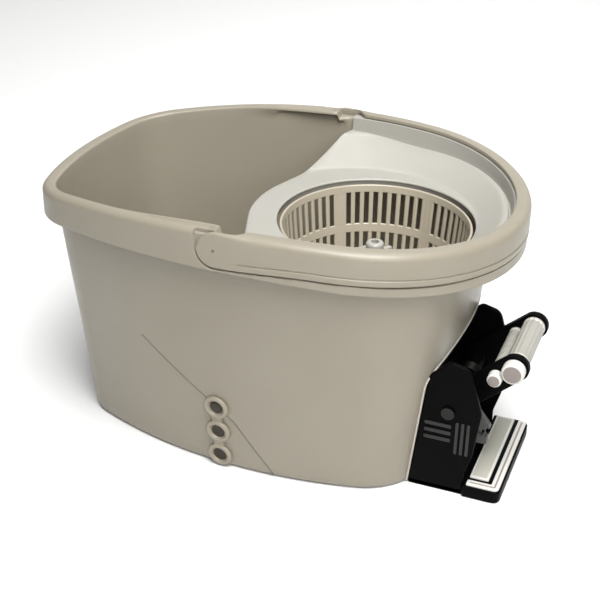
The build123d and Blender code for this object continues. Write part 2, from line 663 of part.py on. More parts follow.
def tooth_flank(teeth):
    """Radius and half angle along one flank of a tooth, from root to tip."""
    pitch_r = MODULE * teeth / 2
    pressure = radians(PRESSURE_ANGLE)
    base_r = pitch_r * cos(pressure)
    root_r = pitch_r - DEDENDUM * MODULE
    tip_r = pitch_r + ADDENDUM * MODULE
    half = pi / (2 * teeth) - BACKLASH / (4 * pitch_r)
    start_r = max(base_r, root_r)
    radii = [start_r + (tip_r - start_r) * k / 3 for k in range(4)]
    flank = [(r, half + involute(pressure) - involute(acos(base_r / r))) for r in radii]
    if root_r < base_r:
        flank.insert(0, (root_r, flank[0][1]))
    return flank


def tooth_points(teeth, middle):
    """Corners of one tooth round its middle angle."""
    flank = tooth_flank(teeth)
    rise = [(r * cos(middle - a), r * sin(middle - a)) for r, a in flank]
    fall = [(r * cos(middle + a), r * sin(middle + a)) for r, a in reversed(flank)]
    return rise + fall


def spur_gear(teeth, first_angle, face):
    """Gear about Z from the origin up, with one tooth at first_angle."""
    points = []
    for i in range(teeth):
        points += tooth_points(teeth, first_angle + 2 * pi * i / teeth)
    return extrude(make_face(Polyline(*points, close=True)), face)


def rack_teeth(count_low, count_high):
    """Straight teeth on a line: x along it, y towards the tips, a gap at x = 0."""
    pitch = pi * MODULE
    slope = tan(radians(PRESSURE_ANGLE))
    tip = ADDENDUM * MODULE
    root = -DEDENDUM * MODULE
    half = pitch / 4 - BACKLASH / 4
    faces = []
    for i in range(count_low, count_high):
        mid = (i + 0.5) * pitch
        sides = Polyline((mid - half + slope * root, root), (mid - half + slope * tip, tip),
                         (mid + half - slope * tip, tip), (mid + half - slope * root, root), close=True)
        faces.append(make_face(sides))
    return faces


def shaft_gear():
    """Gear that runs loose on the shaft, with the clutch drum on top."""
    towards = atan2(IDLER_Y, IDLER_X)
    gear = Pos(0, 0, SHAFT_GEAR_Z) * spur_gear(SHAFT_TEETH, towards + pi / SHAFT_TEETH, SHAFT_GEAR_FACE)
    drum_z = SHAFT_GEAR_Z + SHAFT_GEAR_FACE
    drum = upright(0, 0, drum_z, DRUM_R, DRUM_HEIGHT) - upright(0, 0, ratchet_z(), DRUM_POCKET_R, DRUM_HEIGHT)
    return gear + drum - upright(0, 0, 0, SHAFT_R + BUSH_PLAY, ABOVE)


def clutch_pawls():
    """Two pawls that hang on the drum's wall and lean on the ratchet."""
    foot = ratchet_z()
    near = RATCHET_R + AXIAL_PLAY
    pawl = block((near, 0, foot), (near + PAWL_WIDTH, PAWL_LENGTH, foot + DRUM_HEIGHT / 2))
    ring = upright(0, 0, foot, DRUM_POCKET_R, DRUM_HEIGHT)
    return Compound([(Rot(0, 0, turn) * pawl & ring).solid() for turn in (0, 180)])


def idler_gear():
    """Step-up gear: the rack turns its pinion, its wheel turns the shaft gear."""
    wheel = spur_gear(WHEEL_TEETH, atan2(-IDLER_Y, -IDLER_X), WHEEL_FACE)
    pinion = Pos(0, 0, WHEEL_FACE) * spur_gear(PINION_TEETH, -pi / 2, PINION_FACE)
    gear = wheel + pinion - upright(0, 0, -1, IDLER_PIN_R + BUSH_PLAY, ABOVE)
    return Pos(IDLER_X, IDLER_Y, WHEEL_Z) * gear


def idler_pin():
    """Pin of the step-up gear, held in the cover and in the bay's roof, with a collar under the gear."""
    pin = upright(IDLER_X, IDLER_Y, COVER_TOP, IDLER_PIN_R, BAY_TOP - WALL - COVER_TOP)
    return pin + upright(IDLER_X, IDLER_Y, COVER_TOP, 2 * IDLER_PIN_R, WHEEL_Z - AXIAL_PLAY - COVER_TOP)


def drive_rack():
    """Bar with teeth on its side for the pinion and on its top for the pedal's sector."""
    bar = block((RACK_LEFT, RACK_ROOT_Y - RACK_WIDTH, RACK_Z), (RACK_RIGHT, RACK_ROOT_Y, RACK_ROOT_Z))
    reach = ceil(RACK_TRAVEL / (pi * MODULE)) + 1
    for face in rack_teeth(-2, reach):
        bar = bar + Pos(IDLER_X, RACK_PITCH_Y, RACK_Z) * extrude(face, RACK_HEIGHT)
    for face in rack_teeth(-2, reach):
        tooth = across(face, RACK_ROOT_Y - RACK_WIDTH, RACK_ROOT_Y)
        bar = bar + Pos(PEDAL_X, 0, RACK_PITCH_Z) * tooth
    return bar & block((RACK_LEFT, -FAR, 0), (RACK_RIGHT, FAR, ABOVE))


def gear_cover():
    """Pan under the gear bay: it holds the footstep bearing, the idler pin and the rack's guide."""
    edge = 2 * BOSS_R
    end_x = NICHE_FOOT_X - 2 * WALL
    pan = block((BAY_X_LOW - edge, BAY_Y_LOW - edge, COVER_Z), (end_x, BAY_Y_HIGH + edge, COVER_TOP))
    rim = block((BAY_X_LOW, BAY_Y_LOW, COVER_Z), (end_x, BAY_Y_HIGH, FLOOR_Z - RACK_PLAY))
    rim = rim - block((BAY_X_LOW + COVER_WALL, BAY_Y_LOW + COVER_WALL, COVER_Z),
                      (end_x - COVER_WALL, BAY_Y_HIGH - COVER_WALL, FLOOR_Z))
    pan = pan + rim
    for x, y in COVER_BOSSES:
        pan = pan - upright(x, y, 0, SCREW_R + SCREW_PLAY, FLOOR_Z)
    return pan


def cover_screws():
    """Four screws up into the floor's bosses."""
    screws = []
    for x, y in COVER_BOSSES:
        screw = upright(x, y, COVER_Z - SCREW_HEAD, SCREW_HEAD_R, SCREW_HEAD)
        screw = screw + upright(x, y, COVER_Z, SCREW_R, SCREW_LENGTH - COVER)
        screws.append(screw.solid())
    return Compound(screws)


def rack_guide():
    """Channel on the gear cover that the rack slides in."""
    side = RACK_PLAY + RACK_GUIDE_WALL
    low_y = RACK_ROOT_Y - RACK_WIDTH - side
    high_y = RACK_ROOT_Y + side
    guide = block((GUIDE_X_LOW, low_y, COVER_TOP), (GUIDE_X_HIGH, high_y, RACK_ROOT_Z))
    return guide - block((GUIDE_X_LOW - side, low_y + RACK_GUIDE_WALL, RACK_Z - AXIAL_PLAY),
                         (GUIDE_X_HIGH + side, high_y - RACK_GUIDE_WALL, ABOVE))


# Pedal

def pedal_fork():
    """Two arms on one tube that turns on the axle."""
    eyes = (Pos(PEDAL_X, PEDAL_Z) * Circle(ARM_PIVOT_R)).edges()
    eyes += (Pos(INNER_BAR_X, INNER_BAR_Z) * Circle(INNER_BAR_R + BAR_EYE_WALL)).edges()
    eyes += (Pos(OUTER_BAR_X, OUTER_BAR_Z) * Circle(OUTER_BAR_R + BAR_EYE_WALL)).edges()
    arm = make_hull(eyes)
    hub = (HOUSING_FRONT_Y + CHEEK + CHEEK_GAP, HOUSING_REAR_Y - CHEEK - CHEEK_GAP)
    fork = crosswise(PEDAL_X, PEDAL_Z, PEDAL_HUB_R, *hub)
    fork = fork + across(arm, ARM_FRONT_Y, ARM_FRONT_Y + ARM) + across(arm, ARM_REAR_Y, ARM_REAR_Y + ARM)
    fork = fork - crosswise(PEDAL_X, PEDAL_Z, AXLE_R + BUSH_PLAY, -FAR, FAR)
    for x, z, radius in BARS:
        fork = fork - crosswise(x, z, radius - SLEEVE_WALL, ARM_FRONT_Y - ARM, ARM_REAR_Y + ARM / 2)
    return fork


def foot_bar(x, z, radius):
    """Rod between the arms that carries the grip and its cap."""
    return crosswise(x, z, radius - SLEEVE_WALL, ARM_FRONT_Y - BAR_CAP / 2, ARM_REAR_Y + ARM / 2)


def outer_foot_bar():
    return foot_bar(*BARS[0])


def inner_foot_bar():
    return foot_bar(*BARS[1])


def grip(x, z, radius):
    """Ribbed sleeve on a foot bar, between the arms."""
    sleeve = crosswise(x, z, radius, ARM_FRONT_Y + ARM + SLEEVE_PLAY, ARM_REAR_Y - SLEEVE_PLAY)
    return sleeve - crosswise(x, z, radius - SLEEVE_WALL, -FAR, FAR)


def outer_grip():
    return grip(*BARS[0])


def inner_grip():
    return grip(*BARS[1])


def bar_cap(x, z, radius):
    """Cap on the front end of a foot bar."""
    cap = crosswise(x, z, radius, ARM_FRONT_Y - SLEEVE_PLAY - BAR_CAP, ARM_FRONT_Y - SLEEVE_PLAY)
    return cap - crosswise(x, z, radius - SLEEVE_WALL, ARM_FRONT_Y - BAR_CAP / 2, FAR)


def outer_bar_cap():
    return bar_cap(*BARS[0])


def inner_bar_cap():
    return bar_cap(*BARS[1])


def sector_gear():
    """Toothed sector on the fork's tube that pushes the rack."""
    step = 2 * pi / SECTOR_TEETH
    last = ceil(radians(PEDAL_TRAVEL + SECTOR_MARGIN) / step)
    points = [(0.0, 0.0)]
    for i in range(-1, last + 1):
        points += tooth_points(SECTOR_TEETH, i * step - pi / 2)
    profile = make_face(Polyline(*points, close=True)) + Circle(SECTOR_WEB_R) - Circle(PEDAL_HUB_R)
    return across(Pos(PEDAL_X, PEDAL_Z) * profile, RACK_MID_Y - SECTOR_FACE / 2, RACK_MID_Y + SECTOR_FACE / 2)


def pedal_axle():
    """Bolt through both cheeks of the housing."""
    axle = crosswise(PEDAL_X, PEDAL_Z, AXLE_R, HOUSING_FRONT_Y, HOUSING_REAR_Y + AXLE_NUT)
    return axle + crosswise(PEDAL_X, PEDAL_Z, AXLE_HEAD_R, HOUSING_FRONT_Y - AXLE_HEAD, HOUSING_FRONT_Y)


def axle_nut():
    """Hexagon nut on the axle behind the rear cheek."""
    profile = Pos(PEDAL_X, PEDAL_Z) * (RegularPolygon(AXLE_HEAD_R + AXLE_HEAD, 6) - Circle(AXLE_R))
    return across(profile, HOUSING_REAR_Y, HOUSING_REAR_Y + AXLE_NUT)


def return_spring():
    """Torsion spring wound on the fork's tube: one leg on the housing, one under the inner foot bar."""
    mean_r = PEDAL_HUB_R + SPRING_PLAY + SPRING_WIRE_R
    reach = sqrt((INNER_BAR_X - PEDAL_X)**2 + (INNER_BAR_Z - PEDAL_Z)**2)
    side = INNER_BAR_R + SPRING_WIRE_R + STRAP_GAP
    lift = atan2(INNER_BAR_Z - PEDAL_Z, INNER_BAR_X - PEDAL_X) + asin((mean_r - side) / reach)
    pitch = 2 * SPRING_WIRE_R + SPRING_GAP
    turns = SPRING_TURNS + lift / (2 * pi)
    frame = Plane((PEDAL_X, SPRING_Y, PEDAL_Z), x_dir=(0, 0, -1), z_dir=(0, -1, 0))
    coil = frame * Helix(pitch, pitch * turns, mean_r)
    seat_z = PEDAL_Z - mean_r
    back = PEDAL_X - niche_wall_x(seat_z) - HOUSING_SEAT_GAP - HOUSING_BACK - SPRING_WIRE_R - STRAP_GAP
    start = coil @ 0 - (coil % 0) * back
    finish = coil @ 1 + (coil % 1) * reach
    print("return_spring: least gap to itself", round(least_gap(start, coil, finish), 2), "mm")
    path = Wire([Line(start, coil @ 0), coil, Line(coil @ 1, finish)])
    return sweep(Plane(start, z_dir=coil % 0) * Circle(SPRING_WIRE_R), path=path)


def least_gap(start, coil, finish):
    """Smallest clear distance between two stretches of the spring's wire, on points along it."""
    line = [coil @ (i / 400) for i in range(401)]
    line = [start + (line[0] - start) * (i / 20) for i in range(20)] + line
    line = line + [line[-1] + (finish - line[-1]) * (i / 60) for i in range(1, 61)]
    run = [0.0]
    for i in range(1, len(line)):
        run.append(run[-1] + (line[i] - line[i - 1]).length)
    apart = 6 * SPRING_WIRE_R
    gaps = [(line[i] - line[k]).length for i in range(len(line)) for k in range(i) if run[i] - run[k] > apart]
    return min(gaps) - 2 * SPRING_WIRE_R


# Pedal housing and step plate

def niche_plane(y, z):
    """Plane on the niche's leaning wall, z out of it."""
    lean = (NICHE_KNEE_X - NICHE_FOOT_X) / NICHE_KNEE_Z
    return Plane((niche_wall_x(z), y, z), x_dir=(0, 1, 0), z_dir=(1, 0, -lean))


def pedal_housing():
    """Black carrier in the niche: two cheeks, a back on the tub's wall and a base on the ground."""
    gap = HOUSING_SEAT_GAP
    top_z = NICHE_KNEE_Z + HOUSING_TOP_RISE
    foot = (niche_wall_x(0) + gap, 0)
    knee = (NICHE_KNEE_X + gap, NICHE_KNEE_Z)
    sides = Polyline(foot, knee, (knee[0] + HOUSING_TOP_RISE + gap, top_z), (CHEEK_TOP_X, top_z - CHEEK),
                     (CHEEK_NOSE_X, PEDAL_Z + CHEEK_NOSE_RISE), (CHEEK_WAIST_X, CHEEK_WAIST_Z),
                     (HOUSING_END_X, STEP_HEIGHT + 2 * CHEEK), (HOUSING_END_X, 0), close=True)
    cheek = make_face(sides)
    plate = Polyline(foot, knee, (knee[0] + HOUSING_BACK, knee[1]), (foot[0] + HOUSING_BACK, 0), close=True)
    back = make_face(plate)
    housing = across(cheek, HOUSING_FRONT_Y, HOUSING_FRONT_Y + CHEEK)
    housing = housing + across(cheek, HOUSING_REAR_Y - CHEEK, HOUSING_REAR_Y)
    housing = housing + across(back, HOUSING_FRONT_Y, HOUSING_REAR_Y)
    base_x = niche_wall_x(HOUSING_BASE) + gap
    housing = housing + block((base_x, HOUSING_FRONT_Y, 0), (HOUSING_END_X, HOUSING_REAR_Y, HOUSING_BASE))
    housing = housing - crosswise(PEDAL_X, PEDAL_Z, AXLE_R, -FAR, FAR)
    side = RACK_PLAY + RACK_GUIDE_WALL
    housing = housing - block((0, RACK_ROOT_Y - RACK_WIDTH - side, FLOOR_Z + RACK_PLAY),
                              (PEDAL_X, RACK_ROOT_Y + side, PEDAL_Z - 2 * SECTOR_WEB_R))
    for y, z in HOUSING_SCREWS:
        housing = housing - extrude(niche_plane(y, z) * Circle(SCREW_R + SCREW_PLAY), 2 * HOUSING_BACK)
    for x, y in STEP_SCREWS:
        housing = housing - upright(x, y, -1, SCREW_R + SCREW_PLAY, ABOVE)
    return housing


def housing_screws():
    """Screws through the housing's back into the tub's dry base."""
    screws = []
    for y, z in HOUSING_SCREWS:
        seat = niche_plane(y, z).offset(HOUSING_SEAT_GAP + HOUSING_BACK)
        screw = extrude(seat * Circle(SCREW_HEAD_R), SCREW_HEAD)
        screw = screw + extrude(seat * Circle(SCREW_R), -SCREW_LENGTH)
        screws.append(screw.solid())
    return Compound(screws)


def step_plate():
    """Foot plate that keeps the bucket down while the pedal is pushed."""
    start_x = HOUSING_END_X + STEP_GAP
    plan = Pos((start_x + STEP_END_X) / 2, (STEP_FRONT_Y + STEP_REAR_Y) / 2)
    plan = plan * Rectangle(STEP_END_X - start_x, STEP_REAR_Y - STEP_FRONT_Y)
    plan = fillet([v for v in plan.vertices() if v.X > start_x + STEP_GAP], STEP_CORNER)
    plate = extrude(plan, STEP_HEIGHT)
    plate = plate + block((HOUSING_END_X - TONGUE_LENGTH, HOUSING_FRONT_Y + CHEEK + CHEEK_GAP, HOUSING_BASE),
                          (start_x + TONGUE, HOUSING_REAR_Y - CHEEK - CHEEK_GAP, HOUSING_BASE + TONGUE))
    for x, y in STEP_SCREWS:
        plate = plate - upright(x, y, 0, SCREW_R + SCREW_PLAY, STEP_HEIGHT)
    return plate - inner_pad_space() - outer_pad_space()


def inner_pad_space():
    """Straight pad beside the housing."""
    low_y = STEP_FRONT_Y + PAD_MARGIN + OUTER_PAD_WIDTH + PAD_BREAK
    return block((INNER_PAD_X, low_y, STEP_HEIGHT - PAD_SINK),
                 (INNER_PAD_X + INNER_PAD_WIDTH, STEP_REAR_Y - PAD_MARGIN, STEP_HEIGHT + PAD_RISE))


def outer_pad_space():
    """Pad along the outer edge that turns round the front end."""
    far_x = STEP_END_X - PAD_MARGIN
    near_y = STEP_FRONT_Y + PAD_MARGIN
    low_z = STEP_HEIGHT - PAD_SINK
    high_z = STEP_HEIGHT + PAD_RISE
    pad = block((far_x - OUTER_PAD_WIDTH, near_y, low_z), (far_x, STEP_REAR_Y - PAD_MARGIN, high_z))
    start_x = HOUSING_END_X + STEP_GAP + PAD_MARGIN
    pad = pad + block((start_x, near_y, low_z), (far_x, near_y + OUTER_PAD_WIDTH, high_z))
    uprights = pad.edges().filter_by(Axis.Z)
    corner = [e for e in uprights if e.center().X > far_x - 0.1 and e.center().Y < near_y + 0.1]
    return fillet(corner, STEP_CORNER - PAD_MARGIN)


def inner_step_pad():
    return inner_pad_space()


def outer_step_pad():
    return outer_pad_space()


def step_screws():
    """Screws through the plate's tongue into the housing's base."""
    screws = []
    for x, y in STEP_SCREWS:
        top = HOUSING_BASE + TONGUE
        screw = upright(x, y, top, SCREW_HEAD_R, SCREW_HEAD)
        screw = screw + upright(x, y, PAD_SINK, SCREW_R, top - PAD_SINK)
        screws.append(screw.solid())
    return Compound(screws)


# Drain

def ring_at(y):
    """Strap ring with a raised edge, in the plane of the front wall."""
    flat = extrude(Circle(RING_R) - Circle(FINGER_HOLE_R), STRAP)
    edge = extrude(Circle(RING_R) - Circle(FINGER_HOLE_R + RING_EDGE), STRAP + RING_RISE)
    return Pos(0, y, STRAP_GAP) * (flat + edge)


def neck(y_low, y_high):
    """Flat web between two rings."""
    web = block((-STRAP_NECK / 2, y_low, STRAP_GAP), (STRAP_NECK / 2, y_high, STRAP_GAP + STRAP))
    for y in (-DRAIN_PITCH, 0, DRAIN_PITCH):
        web = web - upright(0, y, 0, RING_R - RING_EDGE, ABOVE)
    return web


def drain_strap():
    """Upper end of the stopper's rubber strap, held on the wall by the rivet."""
    strap = ring_at(DRAIN_PITCH) + neck(DRAIN_PITCH / 2 + STRAP_GAP / 2, DRAIN_PITCH)
    web = extrude(Circle(FINGER_HOLE_R) - Circle(RIVET_R), STRAP / 2)
    return wall_plane() * (strap + Pos(0, DRAIN_PITCH, STRAP_GAP) * web)


def drain_rivet():
    """Push rivet through the strap and the wall."""
    head_z = STRAP_GAP + STRAP / 2
    foot_z = -WALL - STRAP_GAP
    rivet = Pos(0, 0, head_z) * extrude(Circle(RIVET_HEAD_R), RIVET_HEAD)
    rivet = rivet + Pos(0, 0, foot_z) * extrude(Circle(RIVET_R), head_z - foot_z)
    rivet = rivet + Pos(0, 0, foot_z - RIVET_HEAD) * extrude(Circle(RIVET_R + RIVET_HEAD / 2), RIVET_HEAD)
    return wall_plane() * (Pos(0, DRAIN_PITCH) * rivet)


def drain_stopper():
    """Rubber plug with a finger ring below it, on the free end of the strap."""
    stopper = ring_at(0) + ring_at(-DRAIN_PITCH)
    stopper = stopper + neck(0, DRAIN_PITCH / 2 - STRAP_GAP / 2) + neck(-DRAIN_PITCH, 0)
    stopper = stopper + Pos(0, 0, STRAP_GAP) * extrude(Circle(FINGER_HOLE_R), STRAP / 2)
    plug = Pos(0, 0, STRAP_GAP - PLUG_DEPTH) * Cone(PLUG_TIP_R, PLUG_R, PLUG_DEPTH,
                                                    align=(Align.CENTER, Align.CENTER, Align.MIN))
    return wall_plane() * (stopper + plug)


def main():
    os.makedirs("parts", exist_ok=True)
    pieces = [bucket_tub, bail_pins, bail_handle, splash_tray, spin_basket, mop_spigot, drive_shaft,
              upper_bush, thrust_washer, footstep_bush, ratchet_wheel, shaft_gear, clutch_pawls,
              idler_gear, idler_pin, drive_rack, gear_cover, cover_screws, rack_guide, pedal_fork,
              outer_foot_bar, inner_foot_bar, outer_grip, inner_grip, outer_bar_cap, inner_bar_cap,
              sector_gear, pedal_axle, axle_nut, return_spring, pedal_housing, housing_screws,
              step_plate, inner_step_pad, outer_step_pad, step_screws, drain_strap, drain_rivet,
              drain_stopper]
    for piece in pieces:
        shape = Pos(SHIFT_X, 0, 0) * piece()
        export_step(shape, f"parts/{piece.__name__}.step")


main()
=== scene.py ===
"""Looks of a spin mop bucket: each visible piece is a surface worked out with numpy.

Shapes are drawn in millimetres about the basket's axis, with +X towards the pedal and +Z up,
and are moved into the frame's metres when their mesh is made.
"""

from math import acos, asin, atan2, cos, hypot, pi, radians, sin, sqrt

import bmesh
import bpy
import numpy as np
from mathutils import Matrix, Vector


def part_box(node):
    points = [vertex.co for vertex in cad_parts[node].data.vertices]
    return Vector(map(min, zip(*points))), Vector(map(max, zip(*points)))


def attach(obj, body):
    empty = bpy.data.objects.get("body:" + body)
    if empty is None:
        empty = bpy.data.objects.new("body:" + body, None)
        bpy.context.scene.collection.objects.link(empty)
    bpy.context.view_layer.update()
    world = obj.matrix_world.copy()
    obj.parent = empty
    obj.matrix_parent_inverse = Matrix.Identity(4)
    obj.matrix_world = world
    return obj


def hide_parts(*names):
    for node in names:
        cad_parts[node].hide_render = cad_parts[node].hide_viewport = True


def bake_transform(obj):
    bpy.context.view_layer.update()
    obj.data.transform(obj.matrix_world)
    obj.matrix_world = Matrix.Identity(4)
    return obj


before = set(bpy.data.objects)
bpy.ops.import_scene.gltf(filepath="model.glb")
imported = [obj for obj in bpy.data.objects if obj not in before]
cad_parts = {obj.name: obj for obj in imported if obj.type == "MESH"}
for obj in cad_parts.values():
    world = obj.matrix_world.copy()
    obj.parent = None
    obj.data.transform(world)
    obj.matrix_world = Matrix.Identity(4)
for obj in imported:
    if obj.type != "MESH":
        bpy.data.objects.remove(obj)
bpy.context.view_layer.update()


# Tub
# One polypropylene moulding, half a metre long: drafted walls on a rolled rim with a hanging apron,
# a niche for the pedal under the round end, a raised floor with the gear bay and the shaft's column.

MM = 0.001
shaft_low, shaft_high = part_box("drive_shaft")
AXIS_X = (shaft_low.x + shaft_high.x) / 2 / MM
tub_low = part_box("bucket_tub")[0]
bail_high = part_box("bail_handle")[1]
NOSE_REACH = AXIS_X - tub_low.x / MM
END_REACH = bail_high.x / MM - AXIS_X
HALF_WIDTH = bail_high.y / MM
RIM_TOP = bail_high.z / MM
WIDEST_X = -79.0
SIDE_R = 500.0
CORNER_R = 75.0
NOSE_R = 300.0
ARCH_X = -58.0
ARCH_R = 1650.0
WALL = 3.0
BASE_INSET = 39.0
RIM_INSET = 13.5
DRAFT_HEIGHT = 235.0
DRAFT = (BASE_INSET - RIM_INSET) / DRAFT_HEIGHT
FOOT_ROUND = 6.0
FLOOR_Z = 30.0
FLOOR = 3.5
FILLET = 9.0
BODY_REACH = 126.0
BODY_END_R = 400.0
BODY_CORNER_R = 110.0
SHOULDER_Z = RIM_TOP - 49.0
PIVOT_X = -96.0
PIVOT_DROP = 17.5
EYE_R = 17.0
BAIL_DROP = 31.0
BAIL_RUN = 90.0
BAIL_GAP = 1.2
SEAT = 5.7
SEAT_EDGE = 0.4
SWING_ROOM = 0.5
SWING_LEAN = 0.09
RIM_STEP = 6.5
RIM_THICK = 3.5
UNDER_ROUND = 1.0
BEAD = 6.0
LIP_R = 3.0
LIP_FOOT = 4.0
LEDGE = 8.0
CHANNEL = 3.0
HEM_X = -114.0
HEM_R = 2000.0
HEM_DROP = 38.9
HEM_ROUND = 1.5
NICHE_FOOT_X = 72.0
NICHE_KNEE = (86.0, 127.0)
NICHE_LEAN = (NICHE_KNEE[0] - NICHE_FOOT_X) / NICHE_KNEE[1]
NICHE_BEND = 12.0
NICHE_ROUND = 4.0

END_SPAN = END_REACH - WIDEST_X
END_R = (2 * SIDE_R * HALF_WIDTH - HALF_WIDTH**2 - END_SPAN**2) / (2 * (SIDE_R - END_SPAN))
side_c = np.array([WIDEST_X, HALF_WIDTH - SIDE_R])
nose_c = np.array([NOSE_R - NOSE_REACH, 0.0])
end_c = np.array([END_REACH - END_R, 0.0])
body_c = np.array([BODY_REACH - BODY_END_R, 0.0])


def meeting(end, end_r, radius, turn):
    """Centre of the corner arc that touches the side's arc and an end's arc, both from inside."""
    gap = np.linalg.norm(side_c - end)
    along = ((end_r - radius)**2 - (SIDE_R - radius)**2 + gap**2) / (2 * gap)
    aside = turn * sqrt((end_r - radius)**2 - along**2)
    to_side = (side_c - end) / gap
    return end + along * to_side + aside * np.array([to_side[1], -to_side[0]])


def outline_arcs(*chain):
    """Arcs of half a plan outline as centres and radii, and the facing at which each passes into the
    next: the direction from the wider arc's centre to the narrower one's."""
    centres, radii = np.array([c for c, _ in chain]), np.array([r for _, r in chain])
    way = -np.diff(centres, axis=0) * np.sign(np.diff(radii))[:, None]
    return centres, radii, np.arctan2(way[:, 1], way[:, 0])


nose_corner = (meeting(nose_c, NOSE_R, CORNER_R, 1), CORNER_R)
RIM = outline_arcs((end_c, END_R), (side_c, SIDE_R), nose_corner, (nose_c, NOSE_R))
body_corner = (meeting(body_c, BODY_END_R, BODY_CORNER_R, -1), BODY_CORNER_R)
BODY = outline_arcs((body_c, BODY_END_R), body_corner, (side_c, SIDE_R), nose_corner, (nose_c, NOSE_R))


def rim_line(facing, inset, arcs=RIM):
    """Plan point of an outline moved inwards, where it faces an angle: the centre of the arc that
    faces that way, plus what is left of its radius."""
    centres, radii, ends = arcs
    turn = np.abs((facing + pi) % (2 * pi) - pi)
    arc = np.searchsorted(ends, turn)
    reach = radii[arc] - inset
    x = centres[arc, 0] + reach * np.cos(turn)
    return x, np.sign(np.sin(facing)) * (centres[arc, 1] + reach * np.sin(turn))


def rim_top(x):
    """Height of the rim's top line, a flat arch seen from the side."""
    return RIM_TOP - ARCH_R + np.sqrt(ARCH_R**2 - (x - ARCH_X)**2)


def wall_inset(z):
    """How far the drafted wall stands inside the rim's outline at a height."""
    return BASE_INSET - DRAFT * z


def ease(value, low, high):
    """Smooth step from 0 at low to 1 at high."""
    t = np.clip((value - low) / (high - low), 0, 1)
    return t * t * (3 - 2 * t)


def swell(value, begin, full, fade, end):
    """Smooth rise from 0 to 1 between the first two values, and fall back to 0 between the last two."""
    return ease(value, begin, full) * (1 - ease(value, fade, end))


def soft_min(a, b, width):
    """Smaller of two values, with the corner between them rounded over a width."""
    meet = np.maximum(width - np.abs(a - b), 0) / width
    return np.minimum(a, b) - meet**2 * width / 4


def span(start, end, count):
    """Rows that run from one value to another; either may differ from column to column."""
    share = np.linspace(0, 1, count)[:, None]
    return start + (np.asarray(end) - start) * share


def xyz(x, y, z):
    """Points from coordinates that spread over each other's rows and columns."""
    return np.stack(np.broadcast_arrays(x, y, z), -1)


def about_axis(r, polar, z):
    """Points at a radius and an angle about the basket's axis, and at a height."""
    return xyz(r * np.cos(polar), r * np.sin(polar), z)


def quads(rows, columns, wrap_rows, wrap_columns):
    """Corner numbers of the quads of a grid whose ends may be joined."""
    index = np.arange(rows * columns).reshape(rows, columns)
    if wrap_rows:
        index = np.vstack([index, index[:1]])
    if wrap_columns:
        index = np.hstack([index, index[:, :1]])
    return np.stack([index[:-1, :-1], index[:-1, 1:], index[1:, 1:], index[1:, :-1]], -1).reshape(-1, 4)


def looped(*grids):
    """Grids whose last row joins the first, as in a ring or a shell."""
    return [(grid, True) for grid in grids]


def capped(*grids):
    """Grids whose first and last rows are filled, as in a bar."""
    return [(grid, False) for grid in grids]


def put(name, data):
    """New object in the scene."""
    thing = bpy.data.objects.new(name, data)
    bpy.context.scene.collection.objects.link(thing)
    return thing


SHARP = radians(35)


def make_piece(name, grids, material, body, slot, *stands_for):
    """One object from grids of points in millimetres about the basket's axis. The columns of a grid
    close, and its rows close too or are filled at both ends."""
    points, faces, start = [], [], 0
    for grid, closes in grids:
        rows, columns = grid.shape[:2]
        points.append(grid.reshape(-1, 3))
        faces += (quads(rows, columns, closes, True) + start).tolist()
        if not closes:
            faces.append((start + np.arange(columns)).tolist())
            faces.append((start + (rows - 1) * columns + np.arange(columns)[::-1]).tolist())
        start += rows * columns
    place = (np.vstack(points) + np.array([AXIS_X, 0, 0])) * MM
    mesh = bpy.data.meshes.new(name)
    mesh.from_pydata(place, [], faces)
    work = bmesh.new()
    work.from_mesh(mesh)
    bmesh.ops.remove_doubles(work, verts=work.verts, dist=2e-6)
    bmesh.ops.dissolve_degenerate(work, edges=work.edges, dist=1e-7)
    bmesh.ops.recalc_face_normals(work, faces=work.faces)
    work.to_mesh(mesh)
    work.free()
    mesh.polygons.foreach_set("use_smooth", np.ones(len(mesh.polygons), bool))
    mesh.set_sharp_from_angle(angle=SHARP)
    mesh.materials.append(material)
    piece = put(name, mesh)
    if body:
        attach(piece, body)
    if stands_for:
        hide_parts(*stands_for)
    return piece


PLASTIC_IOR = 1.49
DRIFT_SCALE = 6.0
WEAR_SCALE = 45.0
WEAR = 0.15
GRAIN_DEPTH = 0.0004
RAMP_ENDS = (0.3, 0.7)


def new_material(name):
    """Material with nodes, its node tree and the inputs of its shader."""
    material = bpy.data.materials.new(name)
    material.use_nodes = True
    return material, material.node_tree, material.node_tree.nodes["Principled BSDF"].inputs


def noise(tree, place, scale, detail):
    """Output of a noise texture in the object's own space."""
    texture = tree.nodes.new("ShaderNodeTexNoise")
    texture.inputs["Scale"].default_value = scale
    texture.inputs["Detail"].default_value = detail
    tree.links.new(place.outputs["Object"], texture.inputs["Vector"])
    return texture.outputs["Fac"]


